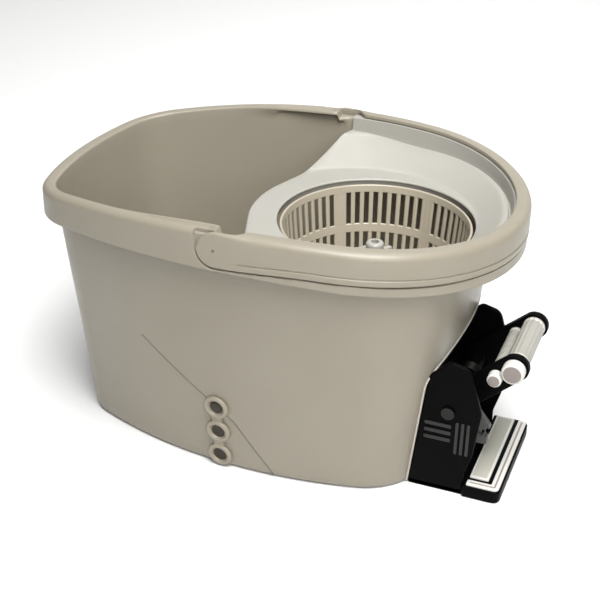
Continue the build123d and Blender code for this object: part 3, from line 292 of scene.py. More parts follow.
def moulded(name, colour, shade, roughness, grain, grain_scale, shine=0.5):
    """Moulded plastic: a colour that drifts slowly towards a second one, a roughness that varies a
    little, and a fine grain in the surface."""
    material, tree, shader = new_material(name)
    shader["IOR"].default_value = PLASTIC_IOR
    shader["Specular IOR Level"].default_value = shine
    place = tree.nodes.new("ShaderNodeTexCoord")

    def ramp(source, low, high):
        node = tree.nodes.new("ShaderNodeValToRGB")
        for element, position, value in zip(node.color_ramp.elements, RAMP_ENDS, (low, high)):
            element.position = position
            element.color = (*value, 1)
        tree.links.new(source, node.inputs["Fac"])
        return node.outputs["Color"]

    tree.links.new(ramp(noise(tree, place, DRIFT_SCALE, 3.0), shade, colour), shader["Base Color"])
    smooth, rough = (roughness * (1 - WEAR),) * 3, (roughness * (1 + WEAR),) * 3
    tree.links.new(ramp(noise(tree, place, WEAR_SCALE, 4.0), smooth, rough), shader["Roughness"])
    bump = tree.nodes.new("ShaderNodeBump")
    bump.inputs["Strength"].default_value = grain
    bump.inputs["Distance"].default_value = GRAIN_DEPTH
    tree.links.new(noise(tree, place, grain_scale, 2.0), bump.inputs["Height"])
    tree.links.new(bump.outputs["Normal"], shader["Normal"])
    return material


BEIGE = moulded("beige_polypropylene", (0.272, 0.246, 0.195), (0.25, 0.223, 0.172), 0.36, 0.10, 900.0)


def bail_hem(aside):
    """How far the bail's lower edge hangs below the rim's top: level with the eye's foot beside the
    eye, and a little higher further on."""
    return BAIL_DROP + (PIVOT_DROP + EYE_R - BAIL_DROP) * (1 - ease(aside, 0, BAIL_RUN))


def pocket(x, z, top):
    """Depth of the bail's seat in the rim: the eye's round pocket, the band's long recess and the room
    that the band needs to swing up, with an edge under a millimetre wide."""
    aside = x - PIVOT_X
    above = z - (top - PIVOT_DROP)
    eye = EYE_R + BAIL_GAP - np.hypot(aside, above)
    band = np.minimum(aside, z - (top - bail_hem(aside) - BAIL_GAP))
    swing = np.minimum(above, aside + EYE_R + BAIL_GAP + SWING_ROOM + SWING_LEAN * above)
    return SEAT * ease(np.maximum(np.maximum(eye, band), swing), -SEAT_EDGE, SEAT_EDGE)


def niche_x(z, inside):
    """Where the niche cuts the round end: a leaning wall, then a roof at 45 degrees, with the bend
    between them rounded; the inner skin stands a wall's thickness behind it."""
    wall = NICHE_FOOT_X + NICHE_LEAN * z - inside * WALL * sqrt(1 + NICHE_LEAN**2)
    roof = NICHE_KNEE[0] + z - NICHE_KNEE[1] - inside * WALL * sqrt(2)
    return -soft_min(-wall, -roof, NICHE_BEND)


# columns stand closer together at the niche's edges and at the bail's pivots
pivot_turn = acos((PIVOT_X - WIDEST_X) / SIDE_R)
_, side_end, corner_end = RIM[2]
half_turn = np.concatenate([np.linspace(0, radians(53), 75), np.linspace(radians(54), radians(85.5), 16),
                            np.linspace(radians(86), pivot_turn + radians(3.2), 105),
                            np.linspace(pivot_turn + radians(3.8), side_end, 16),
                            np.linspace(side_end, corner_end, 22)[1:], np.linspace(corner_end, pi, 16)[1:]])
facing = np.concatenate([half_turn, -half_turn[-2:0:-1]])
flat = np.zeros_like(facing)
face_x, _ = rim_line(facing, 0)
rim_x, _ = rim_line(facing, BEAD)
top = rim_top(rim_x)
under_bail = ease(rim_x, PIVOT_X - 1.5, PIVOT_X + 1.5)
step = RIM_STEP * under_bail
hem = top - (RIM_TOP - HEM_DROP - HEM_R + np.sqrt(HEM_R**2 - (rim_x - HEM_X)**2))
hem_line = ease(rim_x, PIVOT_X - 2, PIVOT_X + 12)
apron_back = WALL + SEAT * under_bail
under_z = top - RIM_THICK - step
ahead = np.array(rim_line(facing, 0, BODY)) - rim_line(facing, 0)
bulge = ahead[0] * np.cos(facing) + ahead[1] * np.sin(facing) > 0.001


def skin(inset, z, arcs, inside=0):
    """Rows of the tub's skin at insets from an outline and at heights, cut off by the niche."""
    x, y = rim_line(facing, inset, arcs)
    return xyz(soft_min(x, niche_x(z, inside), NICHE_ROUND), y, z)


# foot and outer wall, up to the underside of the rim
z = span(FLOOR_Z, FOOT_ROUND, 4)
walls = [skin(wall_inset(z) + WALL, z, BODY, 1)]
foot_inset = BASE_INSET + FOOT_ROUND
walls.append(skin(span(foot_inset + WALL, foot_inset, 2), 0.0, BODY))
turn = np.linspace(0, pi / 2, 7)[1:-1, None]
z = FOOT_ROUND * (1 - np.cos(turn))
walls.append(skin(wall_inset(z) + FOOT_ROUND * (1 - np.sin(turn)), z, BODY))
shoulder = np.where(bulge, SHOULDER_Z, SHOULDER_Z - WALL)
z = span(FOOT_ROUND, shoulder, 30)
walls.append(skin(wall_inset(z), z, BODY))
z = span(shoulder, under_z - UNDER_ROUND, 8)
walls.append(skin(wall_inset(z), z, RIM))
gap = wall_inset(under_z) - apron_back
walls.append(skin(wall_inset(under_z) - gap * np.array([[0.3], [0.7]]), under_z, RIM))

# apron: its back, its hem, and its face with the bail's seat
hem_z = top - hem + HEM_ROUND
walls.append(skin(apron_back, span(under_z - UNDER_ROUND, hem_z, 3), RIM))
swing = np.linspace(0, pi, 9)[1:-1, None]
middle = (apron_back + hem_line) / 2
walls.append(skin(middle + (apron_back - middle) * np.cos(swing), hem_z - HEM_ROUND * np.sin(swing), RIM))
depth = span(hem - HEM_ROUND, BEAD, 36)
turn = np.linspace(0, pi / 2, 9)[1:, None] + flat
face = np.vstack([hem_line * ease(depth, BAIL_DROP - 2, BAIL_DROP), BEAD * (1 - np.cos(turn))])
depth = np.vstack([depth, BEAD * (1 - np.sin(turn))])
face = np.maximum(face, pocket(face_x, top - depth, top))
walls.append(skin(face, top - np.maximum(depth, step), RIM))

# rim's top, which widens inwards beside the bail's ends and carries a shallow channel there
crown_z = top - step
ledge = LEDGE * swell(rim_x - PIVOT_X, -120, -10, -6, 14)
channel = CHANNEL * swell(rim_x - PIVOT_X, -110, -50, -10, -2)
inner_edge = wall_inset(crown_z) + WALL + ledge
crown = span(np.maximum(BEAD, face[-1]), inner_edge - LIP_R, 7)[1:]
groove = np.exp(-((np.linspace(0, 1, 7)[1:, None] - 0.45) / 0.3)**4) * channel
walls.append(skin(crown, crown_z - groove, RIM))
turn = np.linspace(0, pi / 2, 6)[1:, None]
walls.append(skin(inner_edge - LIP_R * (1 - np.sin(turn)), crown_z - LIP_R * (1 - np.cos(turn)), RIM))

# inner wall down to the floor
floor_z = FLOOR_Z + FLOOR
shoulder = np.where(bulge, SHOULDER_Z - WALL, SHOULDER_Z)
z = span(crown_z - LIP_R - LIP_FOOT, shoulder, 6)
walls.append(skin(wall_inset(z) + WALL, z, RIM, 1))
z = span(shoulder, floor_z + FILLET, 16)
walls.append(skin(wall_inset(z) + WALL, z, BODY, 1))
turn = np.linspace(0, pi / 2, 7)[1:, None]
z = floor_z + FILLET * (1 - np.sin(turn))
walls.append(skin(wall_inset(z) + WALL + FILLET * (1 - np.cos(turn)), z, BODY, 1))

BAY_X = (-76.0, 71.5)
BAY_Y = (-62.0, 26.0)
BAY_TOP = 50.0
COLUMN_FOOT_R = 34.0
COLUMN_TOP_R = 20.0
COLUMN_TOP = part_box("upper_bush")[1].z / MM - 2.0
BUSH_R = 8.0
BUSH_SEAT = 20.0
polar = np.arctan2(walls[-1][-1, :, 1], walls[-1][-1, :, 0])


def bay_ray(sides, toward):
    """Length of a ray from the basket's axis to the bay's side on one axis."""
    return np.abs(np.where(toward > 0, sides[1], sides[0]) / np.where(toward == 0, 1e-9, toward))


bay = np.minimum(bay_ray(BAY_X, np.cos(polar)), bay_ray(BAY_Y, np.sin(polar)))
taper = COLUMN_FOOT_R - COLUMN_TOP_R
rise = COLUMN_TOP - BAY_TOP
turned = [(bay, floor_z), (bay, BAY_TOP - 2), (bay - 0.6, BAY_TOP - 0.6), (bay - 2, BAY_TOP)]
turned += [(COLUMN_FOOT_R + out, BAY_TOP + up) for out, up in ((4, 0), (1, 0.8), (-0.2, 4))]
turned += [(COLUMN_FOOT_R - taper * t, BAY_TOP + rise * t) for t in np.linspace(0.1, 0.985, 8)]
turned += [(COLUMN_TOP_R - 1, COLUMN_TOP), (BUSH_R, COLUMN_TOP), (BUSH_R, COLUMN_TOP - BUSH_SEAT)]
turned += [(COLUMN_TOP_R - WALL, COLUMN_TOP - BUSH_SEAT - 1), (COLUMN_FOOT_R - WALL, BAY_TOP - 4)]
turned += [(COLUMN_FOOT_R - 2.5, BAY_TOP - WALL), (bay - WALL, BAY_TOP - WALL), (bay - WALL, FLOOR_Z)]
reach = np.vstack([flat + r for r, _ in turned])
level = np.array([z for _, z in turned])[:, None]
tub = np.vstack(walls + [about_axis(reach, polar, level)])
make_piece("tub_moulding", looped(tub), BEIGE, "root", "tub_plastic", "bucket_tub")


# Niche edge
# The tub's wall ends at the niche in a thin rounded bead, up both sides and over the roof; the bead is
# coloured paler than the tub as a painted highlight along the edge.

# paler beige of the niche's edge bead: a painted highlight
HIGHLIGHT_BEIGE = moulded("painted_highlight_beige", (0.47, 0.44, 0.38), (0.42, 0.39, 0.33), 0.32, 0.08, 900.0)
EDGE_R = 1.1


def unit(vectors):
    """Vectors brought to a length of one."""
    return vectors / np.linalg.norm(vectors, axis=1)[:, None]


def circle(count):
    """Even angles round a full turn."""
    return np.linspace(0, 2 * pi, count, endpoint=False)


def tube(path, side, up, columns):
    """Bead about a line of points: at each point an oval ring, given by its arms to the side and up."""
    angle = circle(columns)[None, :, None]
    return path[:, None] + np.cos(angle) * side[:, None] + np.sin(angle) * up[:, None]


def niche_edge(z):
    """Y at which the body's outline meets the niche at a height, on the corner's arc or the end's arc."""
    x = niche_x(z, 0) - 0.5
    (corner_x, corner_y), inset = body_corner[0], wall_inset(z)
    on_corner = corner_y + np.sqrt(np.maximum((BODY_CORNER_R - inset)**2 - (x - corner_x)**2, 0))
    on_end = np.sqrt(np.maximum((BODY_END_R - inset)**2 - (x - body_c[0])**2, 0))
    return np.where(on_end < corner_y + (BODY_CORNER_R - inset) * sin(BODY[2][0]), on_end, on_corner)


edge_z = np.concatenate([np.linspace(1.5, 120, 30), np.linspace(121, 148, 400)])
edge_z = edge_z[niche_edge(edge_z) > 0.5]
line = xyz(niche_x(edge_z, 0) - 0.8, niche_edge(edge_z) - 0.6, edge_z)
line = np.vstack([line * [1, -1, 1], line[::-1]])
forward = unit(np.gradient(line, axis=0))
side = unit(np.cross(forward, [1.0, 0.0, 0.0]))
bead = tube(line, EDGE_R * side, EDGE_R * np.cross(forward, side), 8)
make_piece("niche_edge_bead", capped(bead), HIGHLIGHT_BEIGE, "root", "tub_plastic")


# Carrying bail
# The band of the rim round the pedal end is the bucket's handle: one moulding in the tub's plastic,
# with a flange over the rim's top and a round eye at each end that turns on a pin in the rim. A small
# mark shows on each eye where the pin is.

BAIL_WALL = 4.5
BAIL_TOP = 3.5
BAIL_REACH = 15.0
LINE_UP = 6.6
LINE_HALF = 1.2
LINE_CUT = 0.9
PIN_MARK_R = 1.6
POLE_R = 0.01


def turned_about_axis(profile, columns, wave=0.0):
    """Surface of revolution about the basket's axis from a profile of radius and height, plus a wave in
    the radius that may differ at each point."""
    r, z = np.asarray(profile, float).T[..., None]
    return about_axis(r + wave, circle(columns), z)


def along_y(place, profile, columns, wave=0.0):
    """The same about a line along Y through a place in X and Z."""
    return turned_about_axis(profile, columns, wave)[..., [0, 2, 1]] + [place[0], 0, place[1]]


eye_x = PIVOT_X - EYE_R * np.cos(np.linspace(0.07, pi / 2, 16))
half_bail = np.concatenate([np.arccos((eye_x - WIDEST_X) / SIDE_R),
                            np.linspace(pivot_turn - 0.004, pivot_turn - 0.08, 24),
                            np.linspace(pivot_turn - 0.1, 0, 64)])
bail_facing = np.concatenate([-half_bail, half_bail[-2::-1]])
bail_x, _ = rim_line(bail_facing, 0)
from_pivot = bail_x - PIVOT_X
chord = np.sqrt(np.maximum(EYE_R**2 - from_pivot**2, 0))
upper = np.where(from_pivot < 0, PIVOT_DROP - chord, 0)
lower = np.where(from_pivot < 0, PIVOT_DROP + chord, bail_hem(from_pivot))
tall = lower - upper
top_r = np.minimum(2.5 + 5.0 * ease(from_pivot, 4, 40), 0.4 * tall)
low_r = np.minimum(1.2, 0.3 * tall)
flange = BAIL_WALL + (BAIL_REACH - BAIL_WALL) * ease(from_pivot, 18, 32)
line_cut = LINE_CUT * ease(from_pivot, 14, 30)
zero = np.zeros_like(tall)
back = zero + BAIL_WALL
turn = np.linspace(0, pi / 2, 8)[:, None]
low_turn = np.linspace(0, pi / 2, 4)[:, None]
section = [(low_r * (1 - np.sin(low_turn)), lower - low_r * (1 - np.cos(low_turn))),
           (span(zero, zero, 3), lower - span(zero + 2.5, zero + LINE_UP - LINE_HALF, 3)),
           (line_cut, lower - LINE_UP),
           (span(zero, zero, 3), lower - span(zero + LINE_UP + LINE_HALF, zero + 11, 3)),
           (top_r * (1 - np.cos(turn)), upper + top_r * (1 - np.sin(turn))),
           (span(top_r + 0.4, flange - 1.0, 4), span(upper, upper, 4)), (flange - 0.3, upper + 0.3),
           (flange, upper + 1.0), (flange, upper + BAIL_TOP), (back, upper + BAIL_TOP + 0.01),
           (back, lower - low_r), (back - 0.6, lower)]
inset, depth = [np.vstack(column) for column in zip(*section)]
x, y = rim_line(bail_facing, inset)
bail_top, _ = rim_line(bail_facing, BEAD)
band = xyz(x, y, rim_top(bail_top) - np.clip(depth, upper, lower)).transpose(1, 0, 2)
make_piece("bail_moulding", capped(band), BEIGE, "bail", "tub_plastic", "bail_handle")

TAUPE = moulded("taupe_polypropylene", (0.14, 0.122, 0.09), (0.12, 0.103, 0.075), 0.45, 0.1, 900.0)
pin_y = rim_line(pivot_turn, 0)[1]
pin_at = (PIVOT_X, rim_top(rim_line(pivot_turn, BEAD)[0]) - PIVOT_DROP)
dot = np.array([(POLE_R, -1), (PIN_MARK_R, -1), (PIN_MARK_R, 0.1), (POLE_R, 0.1)]) + [0, pin_y]
marks = capped(*[along_y(pin_at, dot * [1, end], 24) for end in (-1, 1)])
make_piece("pin_marks", marks, TAUPE, "bail", "tub_plastic")


# Splash tray
# A paler polypropylene insert over the pedal end: a dish round the basket's hole, a border that
# climbs the tub's wall and a lip on the rim; its free edge curls down into a short skirt.

HOLE_R = 97.0
TRAY_Z = RIM_TOP - 46.0
TRAY_WALL = 2.6
TRAY_FLAT = 1.0
TRAY_SLOPE = 0.67
TRAY_EDGE_DROP = 18.0
TRAY_BEND = 2.0
NOSE_EDGE_R = 126.0
TRAY_END = (-80.0, 155.0)
TRAY_INSET = 14.4
TRAY_LIP = 1.8
LIP_WIDTH = 5.0
SKIRT = 10.0
CURL_R = 2.0
COLLAR = 6.0
MOUTH_ROUND = 1.6
PLAY = 0.4
PEARL = moulded("pearl_polypropylene", (0.355, 0.344, 0.309), (0.333, 0.322, 0.287), 0.33, 0.01, 1200.0)


def dish_z(x, y):
    """Top of the dish: level by the hole, then an even slope away from the round end's centre, up to a
    line that keeps below the rim; both bends are rounded."""
    out = np.hypot(x - end_c[0], y) - (HOLE_R - end_c[0] + TRAY_FLAT)
    rise = TRAY_Z + TRAY_WALL + TRAY_SLOPE * (out + np.sqrt(out**2 + TRAY_BEND**2)) / 2
    return soft_min(rise, rim_top(x) - TRAY_EDGE_DROP, TRAY_BEND)


def dish_at(r, polar):
    """Top of the dish at a radius and an angle about the basket's axis."""
    return dish_z(r * np.cos(polar), r * np.sin(polar))


# the free edge runs straight from the wall and touches the round of the nose
touch = atan2(TRAY_END[1], TRAY_END[0]) + acos(NOSE_EDGE_R / hypot(*TRAY_END))
edge_y = HALF_WIDTH - TRAY_INSET
edge_x = (NOSE_EDGE_R - edge_y * sin(touch)) / cos(touch)
edge_turn = acos((edge_x - WIDEST_X) / (SIDE_R - TRAY_INSET))
wall_facing = np.linspace(-edge_turn, edge_turn, 181)
foot_inset = np.full_like(wall_facing, 14.0)
for _ in range(5):
    foot_z = dish_z(*rim_line(wall_facing, foot_inset))
    foot_inset = wall_inset(foot_z) + WALL + PLAY
x, y = rim_line(wall_facing, foot_inset)
foot_z = dish_z(x, y)
wall_polar = np.arctan2(y, x)
free_polar = np.linspace(wall_polar[-1], 2 * pi + wall_polar[0], 121)
free_r = NOSE_EDGE_R / np.cos(np.maximum(np.abs(free_polar - pi) - (pi - touch), 0))
polar = np.concatenate([wall_polar, free_polar])
reach = np.concatenate([np.hypot(x, y), free_r])

# collar and top of the dish, and their underside
level = np.zeros_like(polar)
turn = np.linspace(0, pi / 2, 5)
collar_r = HOLE_R + np.array([1.9, 1.7, *(MOUTH_ROUND * (1 - np.cos(turn)))])[:, None]
collar_fall = np.array([COLLAR + TRAY_WALL, 4.0, *(MOUTH_ROUND * (1 - np.sin(turn)))])
collar_z = TRAY_Z + TRAY_WALL - collar_fall[:, None]
share = np.linspace(0.06, 1, 24)[:, None]
plate_r = HOLE_R + MOUTH_ROUND + (reach - 7.0 - HOLE_R - MOUTH_ROUND) * share
hole_back = level + HOLE_R + TRAY_WALL
under_r = np.flip(hole_back + (reach - 4.0 - hole_back) * share, 0)
dish = np.vstack([about_axis(collar_r, polar, collar_z), about_axis(plate_r, polar, dish_at(plate_r, polar))])
under_z = np.vstack([dish_at(under_r, polar) - TRAY_WALL, level + TRAY_Z - 0.5, level + TRAY_Z - COLLAR])
under = about_axis(np.vstack([under_r, hole_back, hole_back]), polar, under_z)

# border and lip along the wall, skirt along the free edge, with as many rows each
rim_z = rim_top(rim_line(wall_facing, BEAD)[0])
lip_z = rim_z - RIM_STEP + TRAY_LIP
lip_edge = np.full_like(rim_z, wall_inset(RIM_TOP) + WALL - LIP_WIDTH)
lip_foot = wall_inset(lip_z) + WALL + PLAY + TRAY_WALL
groove_in = foot_inset + TRAY_WALL + np.array([3.6, 2.8, 0.9, 0.2, 0.0])[:, None]
groove_z = dish_z(*rim_line(wall_facing, groove_in)) + np.array([0.0, -1.9, -1.9, 0.6, 2.5])[:, None]
section = [(groove_in, groove_z), (lip_foot, lip_z - 0.8), (lip_foot - 0.8, lip_z), (lip_edge + 0.6, lip_z),
           (lip_edge, lip_z - 0.6), (lip_edge, lip_z - TRAY_LIP),
           (wall_inset(rim_z - RIM_STEP) + WALL + PLAY, lip_z - TRAY_LIP), (foot_inset, foot_z - TRAY_WALL)]
inset, z = [np.vstack(column) for column in zip(*section)]
border = xyz(*rim_line(wall_facing, inset), z)
skirt_foot = SKIRT + TRAY_WALL
fall = [*(CURL_R * (1 - np.cos(turn))), 4.0, 6.0, 8.0, 9.5, skirt_foot, skirt_foot, TRAY_WALL]
back = [*(CURL_R * (1 - np.sin(turn))), 0, 0, 0, 0, 0.6, TRAY_WALL, TRAY_WALL]
edge_z = dish_at(free_r, free_polar)
skirt = about_axis(free_r - np.array(back)[:, None], free_polar, edge_z - np.array(fall)[:, None])
tray = np.vstack([dish, np.hstack([border, skirt]), under])
make_piece("tray_moulding", looped(tray), PEARL, "root", "tray_plastic", "splash_tray")


# Basket
# A bowl of cream plastic that spins on the shaft: two rows of upright slats between plain rings, six
# plain pillars, a floor of radial bars and a hollow hub that stands over the column.

CREAM = moulded("cream_polypropylene", (0.42, 0.378, 0.298), (0.385, 0.345, 0.268), 0.36, 0.06, 1200.0)
BASKET_TOP = TRAY_Z - 2.0
BASKET_DEPTH = 90.0
BASKET_FLOOR = BASKET_TOP - BASKET_DEPTH
HUB_RISE = 47.5
HUB_Z = BASKET_FLOOR + HUB_RISE
HUB_FOOT_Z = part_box("thrust_washer")[1].z / MM + 0.3
HUB_BORE_R = 4.0
HUB_FOOT_R = 18.0
HUB_RING_R = 47.0
FLOOR_RING_R = 77.0
BASKET_R = 94.5
KNEE_R = 87.5
FOOT_R = 82.0
KNEE_RISE = 9.0
KNEE_Z = BASKET_FLOOR + KNEE_RISE
SLOT_TOP = BASKET_TOP - 8.0
BREAK_TOP = SLOT_TOP - 34.5
BREAK_LOW = BREAK_TOP - 9.5
BOWL_WALL = 2.5
EASED = 0.7
SLATS = 60
SLOT = 5.0
FLOOR_SLOT = 2.6
PILLARS = 6
PITCH = 2 * pi / SLATS
PILLAR_EXTRA = PITCH * 44
OVAL_POWER = 0.6


def around(grid, count, start=0.0):
    """Copies of a grid, turned about the basket's axis in equal steps."""
    angle = start + np.arange(count) * 2 * pi / count
    c, s = np.cos(angle)[:, None, None], np.sin(angle)[:, None, None]
    x, y, z = np.moveaxis(grid, -1, 0)
    return xyz(x * c - y * s, x * s + y * c, z)


def bowl_r(z):
    """Outer radius of the bowl's wall, which widens evenly from the knee to the mouth."""
    return KNEE_R + (BASKET_R - KNEE_R) * (z - KNEE_Z) / (BASKET_TOP - KNEE_Z)


OVAL_IN, OVAL_ACROSS = [np.sign(v) * np.abs(v)**OVAL_POWER for v in (np.cos(circle(12)), np.sin(circle(12)))]


def slat(low, high, extra, thick):
    """Upright bar of the bowl's wall between two heights: a rounded oblong section that keeps to the
    wall's radius and grows with the pitch, wider by extra on each side."""
    z = np.linspace(low - 0.5, high + 0.5, 4)[:, None]
    half = PITCH * bowl_r(z) / 2 - SLOT / 2 + extra
    middle = bowl_r(z) - BOWL_WALL / 2
    return xyz(middle + thick / 2 * OVAL_IN, half * OVAL_ACROSS, z)


def ring(low, high):
    """Plain ring of the bowl's wall between two heights, with eased edges."""
    out_low, out_high = bowl_r(low), bowl_r(high)
    in_low, in_high = out_low - BOWL_WALL, out_high - BOWL_WALL
    return [(in_low, low + EASED), (in_high, high - EASED), (in_high + EASED, high), (out_high - EASED, high),
            (out_high, high - EASED), (out_low, low + EASED), (out_low - EASED, low), (in_low + EASED, low)]


# profiles of the knee and the hub, with heights from the bowl's floor
knee = [(KNEE_R, KNEE_RISE + 0.5), (KNEE_R - 1.2, KNEE_RISE - 3), (FOOT_R + 1, 1.2), (FOOT_R - 1, 0),
        (FLOOR_RING_R, 0), (FLOOR_RING_R, BOWL_WALL), (FOOT_R - 3, BOWL_WALL), (FOOT_R - 1, 3.4),
        (KNEE_R - BOWL_WALL - 1.2, KNEE_RISE - 2.5), (KNEE_R - BOWL_WALL, KNEE_RISE + 0.5)]
hub_top, hub_foot = HUB_RISE + BOWL_WALL, HUB_FOOT_Z - BASKET_FLOOR
hub = [(HUB_BORE_R, hub_top), (27, hub_top), (28.2, HUB_RISE + 1.8), (28.6, HUB_RISE + 0.5), (40.5, 5),
       (42, 3), (44, BOWL_WALL), (HUB_RING_R, BOWL_WALL), (HUB_RING_R, 0), (38, 0), (26, HUB_RISE),
       (HUB_FOOT_R, HUB_RISE), (HUB_FOOT_R, hub_foot), (HUB_BORE_R, hub_foot)]
bar_r = np.linspace(HUB_RING_R - 0.5, FLOOR_RING_R + 0.5, 3)[:, None]
bar_z = BASKET_FLOOR + BOWL_WALL / 2 * (1 + OVAL_IN)
bar = xyz(bar_r, (PITCH * bar_r - FLOOR_SLOT) / 2 * OVAL_ACROSS, bar_z)
profiles = [ring(SLOT_TOP, BASKET_TOP), ring(BREAK_LOW, BREAK_TOP)]
profiles += [np.array(p) + [0, BASKET_FLOOR] for p in (knee, hub)]
bowl = looped(*[turned_about_axis(p, 180) for p in profiles])
for low, high in ((BREAK_TOP, SLOT_TOP), (KNEE_Z, BREAK_LOW)):
    bowl += capped(*around(slat(low, high, 0, BOWL_WALL), SLATS, PITCH / 2))
    bowl += capped(*around(slat(low, high, PILLAR_EXTRA, BOWL_WALL + 0.1), PILLARS, 2 * PITCH))
bowl += capped(*around(bar, SLATS, PITCH / 2))
make_piece("basket_moulding", bowl, CREAM, "basket", "basket_plastic", "spin_basket")


# Mop spigot
# The centre that the mop's plate drops over: a pearl moulding with a round foot, six low fins and a
# pin with a rounded top.

SPIGOT_Z = HUB_Z + BOWL_WALL
PIN_R = 9.0
PIN_ROUND = 3.0
PIN_RISE = 20.0
FIN_HALF = 2.5
FIN_FOOT = 4.0
FINS = 6
turn = np.linspace(0, pi / 2, 6)
pin_top = PIN_RISE - PIN_ROUND
foot = [(HUB_BORE_R, 0), (23.5, 0), (24, 0.5), (24, 3.5), (23.5, 4.6), (22.5, 5), (8.5, 5), (8.5, 10),
        (PIN_R, 10.4)]
foot += [(PIN_R - PIN_ROUND * (1 - c), pin_top + PIN_ROUND * s) for c, s in zip(np.cos(turn), np.sin(turn))]
foot += [(HUB_BORE_R, PIN_RISE - 0.1)]
fin_r = np.array([8.0, 12.0, 20.0, 21.6, 22.0])[:, None]
fin_top = np.array([9.0, 9.0, 9.0, 8.4, 6.0])[:, None]
fin_side = np.array([-1, -1, -0.75, 0, 0.75, 1, 1])
fin_share = np.array([0, 0.85, 0.98, 1, 0.98, 0.85, 0])
fin_z = SPIGOT_Z + FIN_FOOT + (fin_top - FIN_FOOT) * fin_share
fin = xyz(fin_r, FIN_HALF * fin_side, fin_z)
spigot = looped(turned_about_axis(np.array(foot) + [0, SPIGOT_Z], 48)) + capped(*around(fin, FINS))
make_piece("spigot_moulding", spigot, PEARL, "basket", "tray_plastic", "mop_spigot")


# Pedal housing
# A black polypropylene carrier screwed into the niche: two cheeks with eased edges, a back plate on the
# tub's leaning wall, a base on the ground, and moulded stiffening ribs on the front cheek.

BLACK = moulded("black_polypropylene", (0.002,) * 3, (0.0015,) * 3, 0.45, 0.2, 700.0, 0.04)
housing_low, housing_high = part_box("pedal_housing")
FRONT_Y = housing_low.y / MM
REAR_Y = housing_high.y / MM
HOUSING_END = 127.5
CHEEK = 5.0
CHEEK_EDGE = 1.4
BASE = 5.0
SEAT_GAP = 0.3
BACK = 4.0
RIB_RISE = 1.3
RIB_EDGE = 0.7
RIB_CORNER = 1.2


def bar_place(node):
    """X and Z of the axis of a bar that lies along Y."""
    low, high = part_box(node)
    return (low.x + high.x) / 2 / MM - AXIS_X, (low.z + high.z) / 2 / MM


def rounded(corners, radii, steps=6):
    """Closed outline with eased corners: each is a parabola that leaves its two sides where a circle of
    the given radius would, or nearly halfway along a short side."""
    corners = np.asarray(corners, float)
    before = np.roll(corners, 1, 0) - corners
    after = np.roll(corners, -1, 0) - corners
    long_before, long_after = np.linalg.norm(before, axis=1), np.linalg.norm(after, axis=1)
    half = np.arccos((before * after).sum(1) / (long_before * long_after)) / 2
    halfway = 0.48 * np.minimum(long_before, long_after)
    cut = np.minimum(np.broadcast_to(radii, len(corners)) / np.tan(half), halfway)
    start = corners + before * (cut / long_before)[:, None]
    end = corners + after * (cut / long_after)[:, None]
    t = np.linspace(0, 1, steps)[None, :, None]
    curve = (1 - t)**2 * start[:, None] + 2 * t * (1 - t) * corners[:, None] + t**2 * end[:, None]
    return curve.reshape(-1, 2)


def slab(outline, axis, low, high, edge):
    """Plate of a closed outline between two levels along an axis, with a quarter round along both
    faces: the outline moves inwards along its normals as the level nears a face."""
    ahead = unit(np.roll(outline, -1, 0) - np.roll(outline, 1, 0))
    x, y = outline.T
    turn_sign = np.sign((x * np.roll(y, -1) - y * np.roll(x, -1)).sum())
    normal = turn_sign * np.stack([ahead[:, 1], -ahead[:, 0]], -1)
    turn = np.linspace(0, pi / 2, 5)
    back = edge * (1 - np.sin(turn))
    rise = edge * (1 - np.cos(turn))
    back = np.concatenate([back, back[::-1]])
    level = np.concatenate([low + rise, high - rise[::-1]])
    face = outline[None] - back[:, None, None] * normal[None]
    plate = xyz(face[..., 0], face[..., 1], level[:, None])
    return plate[..., [0, 2, 1]] if axis == "y" else plate


def oblong(low, high, corner=0.5, steps=4):
    """Outline of an oblong between two opposite corners."""
    return rounded([low, (high[0], low[1]), high, (low[0], high[1])], corner, steps)


def leaning(low, high, start, end):
    """Stretch of the back plate between two heights, from one Y to another."""
    x = NICHE_FOOT_X + SEAT_GAP + NICHE_LEAN * np.array([low, high])
    corners = [(x[0], low), (x[0] + BACK, low), (x[1] + BACK, high), (x[1], high)]
    return slab(rounded(corners, 0.3, 3), "y", start, end, 0.2)


PEDAL = bar_place("pedal_axle")
PEDAL_X, PEDAL_Z = PEDAL
cheek = rounded([(NICHE_FOOT_X + SEAT_GAP, 0), (NICHE_KNEE[0] + SEAT_GAP, NICHE_KNEE[1]), (105.6, 146),
                 (125, 141), (140, PEDAL_Z + 4), (134, 45), (HOUSING_END, 22), (HOUSING_END, 0)],
                [2.5, 2.5, 7, 12, 14, 25, 12, 2.5])
rack_low, rack_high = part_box("drive_rack")
slot_y = (rack_low.y / MM - 3, rack_high.y / MM + 3)
slot_z = (rack_low.z / MM - 1, PEDAL_Z - 26)
housing = [slab(cheek, "y", y, y + CHEEK, CHEEK_EDGE) for y in (FRONT_Y, REAR_Y - CHEEK)]
housing += [leaning(0, NICHE_KNEE[1], start, end)
            for start, end in ((FRONT_Y + 2, slot_y[0]), (slot_y[1], REAR_Y - 2))]
housing += [leaning(low, high, slot_y[0] - 0.5, slot_y[1] + 0.5)
            for low, high in ((0, slot_z[0]), (slot_z[1], NICHE_KNEE[1]))]
housing += [slab(oblong((74, FRONT_Y), (HOUSING_END, REAR_Y)), "z", 0, BASE, 0.3)]
make_piece("housing_moulding", capped(*housing), BLACK, "root", "black_plastic", "pedal_housing")
